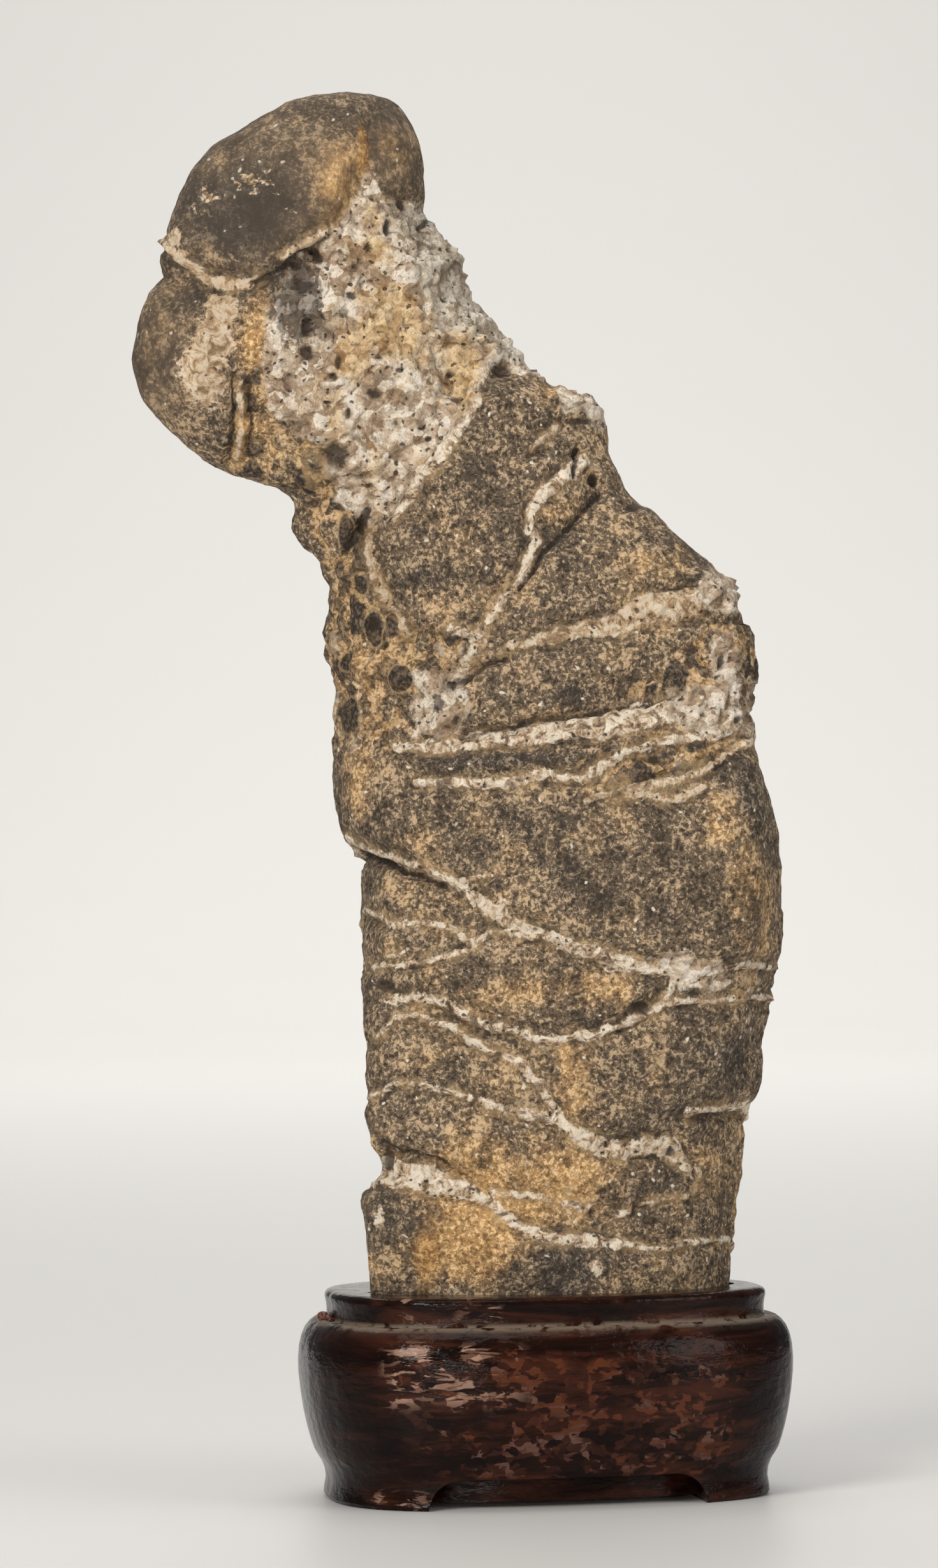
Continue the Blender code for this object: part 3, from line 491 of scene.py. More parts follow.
def inside_area(u, z, corners):
    """How far each point lies inside a closed outline: positive inside, negative outside."""
    inside = np.zeros(u.shape, bool)
    closed = (*corners, corners[0])
    for (u0, z0), (u1, z1) in zip(closed, closed[1:]):
        if z0 != z1:
            crosses = (z0 > z) != (z1 > z)
            inside ^= crosses & (u < (u1 - u0) * (z - z0) / (z1 - z0) + u0)
    distance = line_distance(u, z, [(a, b, 0) for a, b in closed])[0]
    return np.where(inside, distance, -distance)


def spots(u, z, places):
    """The summed strength of soft-edged patches at each point."""
    total = np.zeros(u.shape)
    for p in places:
        total += p.strength * np.exp(-((((u - p.u) / p.half_u) ** 2 + ((z - p.z) / p.half_z) ** 2) ** 1.4))
    return total


# Places far apart in the noise, one for each axis, so that a push by noise is the same in each run.
PUSH_SHIFTS = (Vector((0, 0, 0)), Vector((31.4, 7.7, 12.9)), Vector((5.3, 44.1, 21.6)))


def fragments(points, where, size):
    """How near each point is to a joint between broken pieces, and a number for its piece."""
    joint = np.ones(len(points))
    piece = np.zeros(len(points))
    stretch = Vector((1.15, 1.15, 0.9))
    for i in np.flatnonzero(where):
        place = Vector(points[i])
        place = place + 0.9 * Vector([noise.noise(place / 3.0 + shift) for shift in PUSH_SHIFTS])
        distances, centres = noise.voronoi(place * stretch / size)
        joint[i] = distances[1] - distances[0]
        piece[i] = noise.cell(centres[0] * 7.3)
    return joint, piece


def holes(points, where, size, share):
    """The depth, from 0 to 1, of round holes in some of the cells of the given size."""
    depth = np.zeros(len(points))
    for i in np.flatnonzero(where):
        distances, centres = noise.voronoi(Vector(points[i]) / size)
        chance = noise.cell(centres[0] * 5.1) * 0.5 + 0.5
        if chance < share:
            radius = 0.2 + 0.5 * chance
            depth[i] = max(0.0, 1.0 - distances[0] / radius) ** 0.6
    return depth


def stone_pattern(points):
    """The relief of the stone, in millimetres, and the fields that its colours follow, at each point."""
    u, z = as_seen(points, 1.0)
    vein = np.full(len(points), 20.0)
    tan, side, crack, pit, height = np.zeros((5, len(points)))
    for line in VEINS:
        distance, line_side = line_distance(u, z, line.points)
        tan = np.where(distance < vein, line.tan, tan)
        side = np.where(distance < vein, line_side, side)
        vein = np.minimum(vein, distance)
    quartz = np.max([inside_area(u, z, area) for area in QUARTZ], axis=0)
    broken = np.max([inside_area(u, z, area) for area in BRECCIA], axis=0)
    for line in CRACKS_AND_SHADOWS:
        distance = line_distance(u, z, line.points)[0]
        fall = np.exp(-((np.clip(distance + 0.2, 0, None) / 0.4) ** 2))
        crack = np.maximum(crack, min(1.0, line.depth) * fall)
        height -= line.depth * fall
    # On one side of each vein outside the quartz: a groove in the relief, darkened in the crack field as
    # painted shade beside the vein.
    groove_and_shade = np.exp(-(((vein - 0.4) / 0.4) ** 2)) * (side < 0)
    groove_and_shade *= np.clip(0.45 + 1.6 * noise_at(points, 5.0, 21.0), 0, 1) * (quartz < 0)
    crack = np.maximum(crack, 0.85 * groove_and_shade)
    height -= 0.6 * groove_and_shade
    # Pits are sunk into the relief, and their field darkens them as painted shade; lumps are not darkened.
    for p in PITS:
        span = (((u - p.u) / p.half_u) ** 2 + ((z - p.z) / p.half_z) ** 2) ** 1.5
        height -= p.depth * np.exp(-span)
        if p.depth > 0:
            pit = np.maximum(pit, np.exp(-span))
    joint, piece = fragments(points, broken > -1.0, 5.0)
    in_breccia = np.clip(broken / 1.5 + 0.4, 0, 1)
    height += in_breccia * (1.5 * np.sqrt(np.clip(joint * 1.4, 0, 1)) - 0.9)
    in_quartz = np.clip(quartz / 1.2 + 0.5, 0, 1)
    in_vein = np.clip(0.5 - vein / 0.6, 0, 1)
    rough = np.maximum(in_quartz, in_vein)
    vugs = np.maximum(holes(points, rough > 0.1, 2.0, 0.4), 0.8 * holes(points, rough > 0.1, 1.3, 0.4))
    vugs = np.maximum(vugs, holes(points, in_quartz > 0.6, 3.6, 0.34))
    vugs *= np.where(in_quartz > 0.5, 1.0, 0.9)
    worn_edge = np.exp(-(((vein - 0.8) / 0.7) ** 2)) * (1 - in_quartz)
    height += in_vein * 0.22 - 0.4 * worn_edge - 0.9 * vugs * rough
    right, away, up = points.T
    streaky = np.column_stack([0.8 * right - 0.6 * up, away, (0.6 * right + 0.8 * up) / 1.9])
    nodule = 0.7 * np.abs(noise_at(points, 2.3, 9.0)) + 0.06
    nodule = np.minimum(np.abs(noise_at(streaky, 4.2, 2.0)), nodule)
    lumps = 3.4 * nodule - 0.7 + 0.6 * noise_at(points, 1.4, 4.0) + 0.9 * noise_at(streaky, 7.0, 11.0)
    height += rough * lumps * np.where(in_quartz > 0.5, 1.0, 0.4)
    lobe = spots(u, z, LOBES)
    smooth_head = np.clip(lobe, 0, 1) * (1 - in_quartz)
    for size, shift, depth in ((1.3, 5.0, 0.2), (2.6, 6.0, 0.28), (6.5, 3.0, 0.5)):
        height += (1 - 0.75 * smooth_head) * depth * noise_at(points, size, shift)
    patches = noise_at(points, 9.0, 12.0, octaves=3)
    fields = {
        "vein": vein,
        "tan": np.where(in_quartz > 0.5, 0.1, tan),
        "crack": crack,
        "quartz": quartz,
        "breccia": broken,
        "joint": joint,
        "piece": piece,
        # Painted shade in the pits and vugs.
        "pit": np.maximum(pit, vugs * rough),
        # Painted shade in the creases between the quartz nodules.
        "crease": np.clip(1 - nodule / 0.1, 0, 1) * in_quartz,
        "head": smooth_head,
    }
    for name, places in (("ochre", OCHRE), ("dark", DARK), ("rust", RUST), ("pale", PALE), ("grey", GREY)):
        fields[name] = spots(u, z, places)
    fields["ochre"] += 0.25 * patches
    fields["dark"] -= 0.2 * patches
    return height, fields


# The stone


def add_modifier(obj, name, kind, **settings):
    modifier = obj.modifiers.new(name, kind)
    for key, setting in settings.items():
        setattr(modifier, key, setting)
    return modifier


def applied(obj):
    """Gives an object the mesh that its modifiers make, and removes them."""
    graph = bpy.context.evaluated_depsgraph_get()
    mesh = bpy.data.meshes.new_from_object(obj.evaluated_get(graph), depsgraph=graph)
    obj.modifiers.clear()
    old, obj.data = obj.data, mesh
    bpy.data.meshes.remove(old)
    mesh.name = obj.name


def piece_from(bm, name, material):
    mesh = bpy.data.meshes.new(name)
    bm.to_mesh(mesh)
    bm.free()
    mesh.materials.clear()
    mesh.materials.append(material)
    obj = bpy.data.objects.new(name, mesh)
    bpy.context.scene.collection.objects.link(obj)
    return obj


def even_stone(material, voxel):
    """A copy of the CAD stone with even faces, finer on the side that faces the viewer."""
    bm = bmesh.new()
    bm.from_mesh(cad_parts["stone"].data)
    bmesh.ops.remove_doubles(bm, verts=bm.verts, dist=0.02 * MM)
    stone = piece_from(bm, "sandstone_and_quartz", material)
    add_modifier(stone, "even", "REMESH", mode="VOXEL", voxel_size=voxel)
    add_modifier(stone, "soft", "SMOOTH", factor=0.5, iterations=2)
    applied(stone)
    bm = bmesh.new()
    bm.from_mesh(stone.data)
    bm.normal_update()
    towards_viewer = Vector((math.sin(STONE_TURN), -math.cos(STONE_TURN), 0))
    seen = {face for face in bm.faces if face.normal.dot(towards_viewer) > 0.12}
    edges = [edge for edge in bm.edges if any(face in seen for face in edge.link_faces)]
    bmesh.ops.subdivide_edges(bm, edges=edges, cuts=1, use_grid_fill=True, smooth=0.0)
    bmesh.ops.triangulate(bm, faces=[face for face in bm.faces if len(face.verts) > 4])
    bm.to_mesh(stone.data)
    bm.free()
    add_modifier(stone, "round", "SMOOTH", factor=0.5, iterations=1)
    applied(stone)
    return stone


def weather(stone):
    """Gives the stone its relief, and the fields that its colours follow."""
    mesh = stone.data
    count = len(mesh.vertices)
    flat, normals = np.empty(count * 3), np.empty(count * 3)
    mesh.vertices.foreach_get("co", flat)
    mesh.vertex_normals.foreach_get("vector", normals)
    points = to_stone(flat.reshape(-1, 3))
    height, fields = stone_pattern(points)
    above_rim = np.clip((points[:, 2] - RIM_Z - 0.5) / 3.0, 0, 1)
    height = np.clip(height, -1.8, 1.0) * above_rim
    flat += (normals.reshape(-1, 3) * (height * MM)[:, None]).ravel()
    mesh.vertices.foreach_set("co", flat)
    mesh.update()
    for name, values in fields.items():
        mesh.attributes.new(name, "FLOAT", "POINT").data.foreach_set("value", values)


def sandstone_color(g, sizes):
    """The sand-coloured ground of the blocks, from dark grey to ochre, with its grains."""
    head = g.attribute("head")
    grain = sizes.grain / MM
    patch = g.mottle(10, 5.0)
    small = g.mottle(2.6, 4.0, 0.7)
    ochre = (g.attribute("ochre") + (0.35 * patch + 0.25 * small) * (1 - 0.5 * head)).rise(0.0, 0.9)
    dark = (g.attribute("dark") - 0.6 * patch + 0.3 * small).rise(0.0, 0.9)
    ground = g.mix(ochre, sizes.sandstone, (0.50, 0.295, 0.12))
    ground = g.mix(dark * 0.85, ground, (0.055, 0.046, 0.037))
    light = g.mix(ochre, (0.57, 0.42, 0.265), (0.97, 0.67, 0.34))
    light = g.mix(dark * 0.6, light, (0.32, 0.26, 0.195))
    flecks = 0.7 * g.noise(grain, 3.0, 0.65, 0.5) + 0.3 * g.noise(3 * grain, 3.0, 0.7, 0.8)
    cover = flecks + 0.045 * patch + 0.045 * small
    strength = 0.92 - 0.5 * head - 0.25 * dark
    # Near-black in the hollows of the grain, where the grain bump sinks: painted shade as well as dark
    # grains.
    hollow_shade = cover.rise(0.467, 0.415) * strength * (1 - 0.3 * ochre)
    winding = g.noise(2.2 * grain, 2.0, 0.6, 0.8) - 0.5
    worms = winding.calc("ABSOLUTE").rise(0.022, 0.005) * small.rise(-0.4, 0.3)
    shade = (0.6 * g.mottle(3.2, 5.0, 0.7) - 0.5 * patch).rise(0.05, 0.75)
    blotches = (0.7 * small + 0.6 * patch).rise(-0.5, 0.5)
    net = g.cells(8, g.warped(5, 7), feature="DISTANCE_TO_EDGE")
    thread = net.rise(0.035, 0.008) * (patch + small).rise(0.0, 0.7) * (1 - head)
    strewn = g.warped(4, 3)
    sparkle = g.chance(1.7 * grain, strewn).rise(0.93, 0.96) * g.cells(1.7 * grain, strewn).rise(0.34, 0.18)
    color = g.layered(
        ground,
        (cover.rise(0.52, 0.58) * strength, light),
        (hollow_shade, g.mix(0.85, ground, (0.015, 0.011, 0.008))),
        (worms * (0.6 - 0.35 * head), g.mix(0.25, light, (0.66, 0.52, 0.36))),
        (shade * 0.6, (0.036, 0.028, 0.021)),
        (head * (0.62 - 0.5 * blotches), (0.045, 0.033, 0.023)),
        (thread * 0.6, (0.60, 0.45, 0.28)),
        (sparkle * (0.9 - 0.4 * head), (0.84, 0.76, 0.62)),
    )
    return color, flecks


def quartz_color(g, sizes):
    """The white, grey, pink and rust-stained quartz, with painted shade in its creases and painted
    highlights on the faces of its dark crystals.
    """
    crystal = g.chance(2.2, g.warped(2.2, 2.2))
    blotch = 0.5 * g.noise(2.2, 5.0, 0.65, 0.7) + 0.3 * g.noise(6, 3.0, 0.6, 0.8) + 0.2 * crystal
    clean = g.ramp(
        blotch, (0.34, (0.13, 0.085, 0.055)), (0.43, (0.42, 0.295, 0.19)), (0.505, tuple(sizes.quartz)),
        (0.585, (0.99, 0.90, 0.77)),
    )
    grey = (g.attribute("grey") + 0.35 * g.mottle(2.5)).rise(0.15, 1.0)
    rust = (g.attribute("rust") + 0.5 * g.mottle(2.6)).rise(0.05, 0.85)
    tan = (g.attribute("tan") + 0.4 * g.mottle(2.5)).rise(0.1, 0.9)
    # Near-black where the dark field is high, with lighter crystal faces that are painted highlights.
    dark_spots = (g.attribute("dark") + 0.8 * g.mottle(2.0, 5.0, 0.65)).rise(0.62, 0.88)
    # Painted shade in the creases between the nodules.
    crease_shading = (g.attribute("crease") + 0.3 * g.mottle(1.2)).rise(0.35, 1.0)
    gaps = g.noise(0.7, 3.0, 0.7).rise(0.45, 0.37)
    return g.layered(
        clean,
        (grey * 0.65, g.ramp(blotch, (0.36, (0.20, 0.18, 0.14)), (0.60, (0.80, 0.75, 0.63)))),
        (rust * 0.75, g.ramp(blotch, (0.37, (0.40, 0.21, 0.07)), (0.62, (0.96, 0.68, 0.31)))),
        (tan * 0.65, (0.54, 0.36, 0.18)),
        (dark_spots * 0.88, g.mix(crystal.rise(0.55, 0.95), (0.034, 0.027, 0.022), (0.30, 0.265, 0.23))),
        (crease_shading * 0.8, (0.14, 0.09, 0.05)),
        (gaps * 0.45, (0.12, 0.08, 0.05)),
    )


def fragment_color(g, sand, quartz, flecks):
    """Broken pieces of sandstone, dark stone and quartz in a gritty ochre ground."""
    piece = g.attribute("piece")
    dark_rock = g.mix(flecks.rise(0.45, 0.60), (0.022, 0.017, 0.013), (0.13, 0.095, 0.066))
    tan_rock = g.mix(flecks.rise(0.42, 0.56), (0.28, 0.165, 0.07), g.mix(0.35, (0.80, 0.55, 0.28), quartz))
    grit = g.chance(1.7, g.warped(1.7, 1.5))
    tan_rock = g.mix(grit.rise(0.6, 0.72) * 0.75, tan_rock, dark_rock)
    joint = g.attribute("joint") + 0.12 * g.mottle(1.5)
    pebble = g.attribute("dark") + 0.2 * g.mottle(2)
    return g.layered(
        sand,
        (piece.rise(0.15, -0.35) * 0.85, dark_rock),
        (piece.rise(0.6, 0.9) * 0.6, quartz),
        (joint.rise(0.26, 0.10) * 0.92, tan_rock),
        (pebble.rise(0.45, 0.6) * pebble.rise(0.85, 0.7) * 0.5, (0.45, 0.31, 0.16)),
        (pebble.rise(0.72, 0.88) * 0.85, dark_rock),
    )


def stone_material(sizes):
    g = Graph("weathered sandstone")
    wobble = g.mottle(1.5, 4.0, 0.7)
    sand, flecks = sandstone_color(g, sizes)
    quartz = quartz_color(g, sizes)
    in_breccia = (g.attribute("breccia") + 1.2 * wobble).rise(-0.4, 1.2)
    pale = (g.attribute("pale") + 0.5 * wobble).rise(0.46, 0.70)
    in_quartz = (g.attribute("quartz") + 0.9 * wobble).rise(-0.5, 0.6)
    vein = g.attribute("vein")
    in_vein = (vein + 0.55 * wobble + 0.25 * g.mottle(5)).rise(0.22, -0.18)
    rough = in_quartz.larger(in_vein).larger(pale * 0.9)
    halo = (vein + 0.9 * wobble).rise(1.4, 0.2) * (1 - rough)
    seam = g.ramp(
        g.noise(2.1, 5.0, 0.72, 0.8), (0.38, (0.04, 0.026, 0.016)), (0.44, (0.36, 0.24, 0.14)),
        (0.485, (0.68, 0.51, 0.34)), (0.555, (0.99, 0.90, 0.74)),
    )
    seam = g.mix(g.attribute("tan").rise(0.1, 0.9) * 0.45, seam, (0.50, 0.32, 0.15))
    stain = (g.attribute("rust") + 0.3 * wobble).rise(0.1, 1.1) * (1 - rough)
    # The dark lines hold painted shadow under ledges and beside veins as well as real cracks; the pits and
    # vugs get painted shade.
    crack = (g.attribute("crack") + 0.25 * wobble).rise(0.4, 1.0)
    pit = (g.attribute("pit") + 0.2 * wobble).rise(0.35, 0.9)
    # Small specks in the quartz and veins, sunk by the bump and darkened as painted shade.
    grainy = g.warped(1, 1.2)
    chosen = g.chance(1.2, grainy).rise(0.6, 0.72)
    speck_holes_and_shade = g.cells(1.2, grainy).rise(0.30, 0.15) * rough * chosen
    color = g.layered(
        sand,
        (in_breccia, fragment_color(g, sand, quartz, flecks)),
        (halo * 0.5, g.mix(g.noise(3).rise(0.44, 0.56), (0.075, 0.055, 0.037), (0.46, 0.31, 0.15))),
        (rough, g.mix(0.85 - 0.75 * in_quartz, quartz, seam)),
        (stain * 0.65, g.mix(flecks.rise(0.42, 0.58), (0.34, 0.16, 0.045), (0.82, 0.48, 0.18))),
        # Painted shadow along the dark lines, and painted shade in the pits, vugs and sunken specks.
        (crack * 0.88, (0.024, 0.018, 0.014)),
        (pit * 0.88, (0.038, 0.026, 0.018)),
        (speck_holes_and_shade * 0.85, (0.045, 0.030, 0.020)),
    )
    fine = 1 - 0.6 * g.attribute("head")
    normal = g.bump(flecks * (1 - rough * 0.5) * fine, sizes.grain_relief / MM)
    lumpy = (g.noise(1.2, 5.0, 0.7) - 0.5 * speck_holes_and_shade) * fine * (1 + 0.6 * rough)
    normal = g.bump(lumpy, 0.8, normal)
    roughness = 0.85 - 0.3 * rough * g.noise(1.2, 2.0).rise(0.4, 0.7)
    return g.finish(Base_Color=color, Roughness=roughness, Normal=normal, Specular_IOR_Level=0.35)


class VIEWSTONE_OT_stone(bpy.types.Operator):
    """Add the stone: sandstone blocks, quartz seams, pits and ledges"""

    bl_idname = "viewstone.stone"
    bl_label = "Stone"

    def execute(self, context):
        sizes = context.scene.viewstone_stone
        stone = even_stone(stone_material(sizes), sizes.voxel)
        weather(stone)
        stone.data.shade_smooth()
        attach(stone, "root")
        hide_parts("stone")
        return {"FINISHED"}


# The stand, in millimetres. Half length of its oval at each height, from the sole to the inside of the rim.
HALF_LENGTH = 39.6
HALF_DEPTH = 30.0
SQUARENESS = 2.7
TAPER = 0.14
STAND_PROFILE = (
    (30.0, 0.0), (34.8, 0.0), (35.4, 0.15), (35.7, 0.6), (35.6, 1.6), (35.35, 3.0), (35.5, 4.4),
    (36.0, 5.7), (36.7, 6.8), (37.2, 7.7), (37.7, 9.2), (38.25, 11.2), (38.8, 13.8), (39.25, 16.8),
    (39.55, 19.8), (39.6, 22.0), (39.45, 24.0), (39.1, 25.7), (38.5, 27.1), (37.8, 28.0), (37.0, 28.6),
    (36.3, 28.8), (35.6, 28.7), (35.2, 28.75), (35.0, 29.4), (35.0, 30.4), (35.15, 31.4), (35.3, 32.1),
    (35.25, 32.6), (34.95, 33.0), (34.5, 33.2), (33.8, RIM_Z), (32.0, RIM_Z),
)
GROOVE_Z = 28.8
SOCKET_DEPTH = 5.0
# The half length and half depth of an oval just outside the socket.
SOCKET_REACH = (32.6, 23.0)
ARCH_HALF_WIDTH = 22.5
ARCH_HEIGHT = 5.0
ARCH_DEPTH = 6.0
ARCH_SHOULDER = 5.5
CORE_LIFT = 0.9
CORE_OVERLAP = 4.0


def plan_ring(half_length, height, count):
    """The stand's oval at one height: its half length gives its size, and it is deeper on the left."""
    power = 2.0 / SQUARENESS
    half_depth = half_length - HALF_LENGTH + HALF_DEPTH
    ring = []
    for i in range(count):
        cos, sin = math.cos(2 * math.pi * i / count), math.sin(2 * math.pi * i / count)
        along = math.copysign(abs(cos) ** power, cos)
        across = math.copysign(abs(sin) ** power, sin) * (1 - TAPER * along)
        ring.append(((STAND_X + half_length * along) * MM, half_depth * across * MM, height * MM))
    return ring


def lofted(rings):
    """A closed solid through rings of equally many points."""
    count, top = len(rings[0]), len(rings) - 1
    bm = bmesh.new()
    bmesh.ops.create_cone(bm, cap_ends=True, segments=count, radius1=1.0, radius2=1.0, depth=2.0)
    upright = [edge for edge in bm.edges if abs(edge.verts[0].co.z - edge.verts[1].co.z) > 1.0]
    bmesh.ops.subdivide_edges(bm, edges=upright, cuts=top - 1, use_grid_fill=True)
    for vert in bm.verts:
        level = round((vert.co.z + 1.0) / 2.0 * top)
        turn = math.atan2(vert.co.y, vert.co.x) / (2 * math.pi)
        vert.co = Vector(rings[level][round(turn * count) % count])
    return bm


def socket_rings(count):
    """The edge of the socket and its floor, read from the top of the CAD stand."""
    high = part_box("stand")[1].z
    centre = STAND_X * MM
    edge = plan_ring(STAND_PROFILE[-1][0], 0, count)
    angles = [math.atan2(y, x - centre) % (2 * math.pi) for x, y, _ in edge]
    rings = []
    for height in (high, high - SOCKET_DEPTH * MM):
        reach = {}
        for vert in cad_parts["stand"].data.vertices:
            x, y = vert.co.x - centre, vert.co.y
            near = math.hypot(x / SOCKET_REACH[0], y / SOCKET_REACH[1]) < MM
            if near and abs(vert.co.z - height) < 0.02 * MM:
                reach[round(math.atan2(y, x) % (2 * math.pi), 3)] = math.hypot(x, y)
        turns = sorted(reach)
        fitted = np.interp(angles, turns, [reach[turn] for turn in turns], period=2 * math.pi)
        rings.append([(centre + r * math.cos(a), r * math.sin(a), height) for a, r in zip(angles, fitted)])
    return rings


def between(place, starts, full, fades, ends):
    """A share that rises from 0 to 1 along a line and falls again, at places in millimetres."""
    return place.rise(starts, full) * place.rise(ends, fades)


def wood_material(sizes):
    g = Graph("dark polished rosewood")
    streak = g.noise(5, 5.0, 0.65, 0.6, stretch=(0.28, 0.28, 1.7))
    wood = g.ramp(
        streak, (0.36, (0.004, 0.0025, 0.0022)), (0.50, tuple(sizes.wood)), (0.66, (0.045, 0.014, 0.0075)),
    )
    axes = g.node("ShaderNodeSeparateXYZ", {}, {"Vector": g.stretched((1 / MM, 1 / MM, 1 / MM))})
    along = Value(g, axes.outputs["X"]) - STAND_X
    z = Value(g, axes.outputs["Z"])
    middle = along.calc("ABSOLUTE").rise(37, 20)
    block = g.warped(3, 3, (0.8, 0.8, 1.15))
    tone = g.chance(2.6, block, distance="CHEBYCHEV")
    small = g.chance(1.3, block, distance="CHEBYCHEV")
    # The mottling is partly the wood's own colour and partly painted reflections from the uneven polish;
    # its palest flecks are painted highlights.
    mottle_and_sheen = 0.5 * tone + 0.5 * small + 0.3 * g.mottle(15, 2.0, 0.5)
    mottle_and_sheen = mottle_and_sheen * (0.3 + 0.7 * middle * between(z, 2, 7, 23, 27.5))
    warm = mottle_and_sheen.rise(0.60, 0.78) * streak.rise(0.45, 0.54)
    # The places where painted highlight flecks go: the upper belly left of the middle, two spots on the
    # rim, and the left foot.
    belly = between(along, -31, -27, -12, -6) * between(z, 15, 19, 25, 27.5)
    rim = between(along, -27.4, -26.4, -25.2, -24.2)
    rim = rim.larger(0.85 * between(along, -19, -17, -12.5, -10.5)) * z.rise(29, 29.8)
    foot = between(along, -32, -29, -24, -21) * z.rise(3.6, 2.4)
    glinting = belly.larger(rim).larger(0.8 * foot)
    painted_highlight_flecks = g.noise(2.0, 3.0, 0.62, 0.6, stretch=(0.42, 0.42, 1.4)).rise(0.52, 0.58) * glinting
    dust = g.attribute("groove") * g.noise(2.4, 3.0).rise(0.36, 0.50)
    color = g.layered(
        wood,
        (middle.rise(0.5, 0.0) * 0.6, (0.005, 0.003, 0.0028)),
        (mottle_and_sheen.rise(0.46, 0.66) * 0.8, (0.036, 0.012, 0.0075)),
        (warm * 0.65, (0.11, 0.033, 0.014)),
        # Pale flecks in the mottling, and the flecks on the belly, rim and foot: painted highlights.
        (mottle_and_sheen.rise(0.72, 0.88) * (1 - warm) * 0.65, (0.14, 0.076, 0.058)),
        (painted_highlight_flecks * 0.85, g.mix(tone, (0.10, 0.05, 0.034), (0.40, 0.245, 0.175))),
        (dust * 0.5, (0.34, 0.27, 0.20)),
    )
    worn = g.noise(1.4, 4.0, 0.65).rise(0.45, 0.75)
    roughness = sizes.gloss + 0.10 * worn + 0.4 * dust
    normal = g.bump(g.noise(5.0, 3.0, 0.5), 0.35)
    normal = g.bump(g.noise(1.5, 3.0, 0.6, 0.4, stretch=(0.45, 0.45, 1.2)), 0.22, normal)
    return g.finish(Base_Color=color, Roughness=roughness, Normal=normal, Specular_IOR_Level=0.1)


def arch_cutter():
    """The two arches between the feet as one bar through the stand, from front to back."""
    right = [(ARCH_HALF_WIDTH, -1.0)]
    for turn in np.radians(np.arange(0, 91, 6)):
        right.append((ARCH_HALF_WIDTH - ARCH_SHOULDER * (1 - math.cos(turn)), ARCH_HEIGHT * math.sin(turn)))
    outline = right + [(-x, z) for x, z in reversed(right)]
    bm = bmesh.new()
    corners = [bm.verts.new(((STAND_X + x) * MM, -2 * HALF_DEPTH * MM, z * MM)) for x, z in outline]
    swept = bmesh.ops.extrude_face_region(bm, geom=[bm.faces.new(corners)])
    moved = [item for item in swept["geom"] if isinstance(item, bmesh.types.BMVert)]
    bmesh.ops.translate(bm, verts=moved, vec=(0, 4 * HALF_DEPTH * MM, 0))
    bmesh.ops.recalc_face_normals(bm, faces=bm.faces)
    return bm


def mark_groove(stand):
    """The field that says where the groove under the rim is."""
    heights = np.array([vert.co.z for vert in stand.data.vertices]) / MM
    reach = np.array([abs(vert.normal.z) for vert in stand.data.vertices])
    near = np.exp(-(((heights - GROOVE_Z) / 0.5) ** 2)) * np.clip(reach * 1.5, 0, 1)
    stand.data.attributes.new("groove", "FLOAT", "POINT").data.foreach_set("value", near)


class VIEWSTONE_OT_stand(bpy.types.Operator):
    """Add the carved stand: feet, arches, belly, groove and rim"""

    bl_idname = "viewstone.stand"
    bl_label = "Stand"

    def execute(self, context):
        sizes = context.scene.viewstone_stand
        material = wood_material(sizes)
        rings = [plan_ring(half_length, height, sizes.segments) for half_length, height in STAND_PROFILE]
        stand = piece_from(lofted(rings + socket_rings(sizes.segments)), "carved_stand", material)
        core_length = STAND_PROFILE[3][0] - ARCH_DEPTH
        ends = (CORE_LIFT, ARCH_HEIGHT + CORE_OVERLAP)
        core_rings = [plan_ring(core_length, height, sizes.segments) for height in ends]
        arch = piece_from(arch_cutter(), "arch", material)
        core = piece_from(lofted(core_rings), "core", material)
        add_modifier(stand, "cut", "BOOLEAN", operation="DIFFERENCE", object=arch, solver="EXACT")
        add_modifier(stand, "fill", "BOOLEAN", operation="UNION", object=core, solver="EXACT")
        applied(stand)
        for helper in (arch, core):
            bpy.data.objects.remove(helper, do_unlink=True)
        stand.data.shade_smooth()
        stand.data.set_sharp_from_angle(angle=math.radians(38))
        mark_groove(stand)
        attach(stand, "root")
        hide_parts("stand")
        return {"FINISHED"}


# Dark red crumbs lie in the groove at the left end of the rim: how far from the stand's middle along and
# across it, in millimetres, and their radius.
CRUMBS = (
    (-36.1, -1.6, 0.8), (-35.7, -3.4, 0.6), (-36.4, 0.6, 0.55), (-36.0, 2.4, 0.7), (-35.5, -5.2, 0.45),
)


class VIEWSTONE_OT_crumbs(bpy.types.Operator):
    """Add the dark red crumbs that lie in the groove at the left end of the rim"""

    bl_idname = "viewstone.crumbs"
    bl_label = "Crumbs"

    def execute(self, context):
        g = Graph("dark red crumbs")
        color = g.mix(g.noise(0.5, 3.0).rise(0.45, 0.6), (0.045, 0.008, 0.006), (0.16, 0.05, 0.03))
        material = g.finish(Base_Color=color, Roughness=0.45, Normal=g.bump(g.noise(0.6), 0.1))
        bm = bmesh.new()
        for along, across, radius in CRUMBS:
            centre = Vector((STAND_X + along, across, GROOVE_Z - 0.1 + 0.7 * radius)) * MM
            made = bmesh.ops.create_icosphere(bm, subdivisions=2, radius=radius * MM)
            for vert in made["verts"]:
                vert.co *= 1.0 + 0.35 * noise.noise(vert.co * 900 + centre * 300)
            bmesh.ops.translate(bm, verts=made["verts"], vec=centre)
        crumbs = piece_from(bm, "crumbs", material)
        crumbs.data.shade_smooth()
        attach(crumbs, "root")
        return {"FINISHED"}


# The studio


def plain_material(name, color, roughness):
    g = Graph(name)
    return g.finish(Base_Color=color, Roughness=roughness)


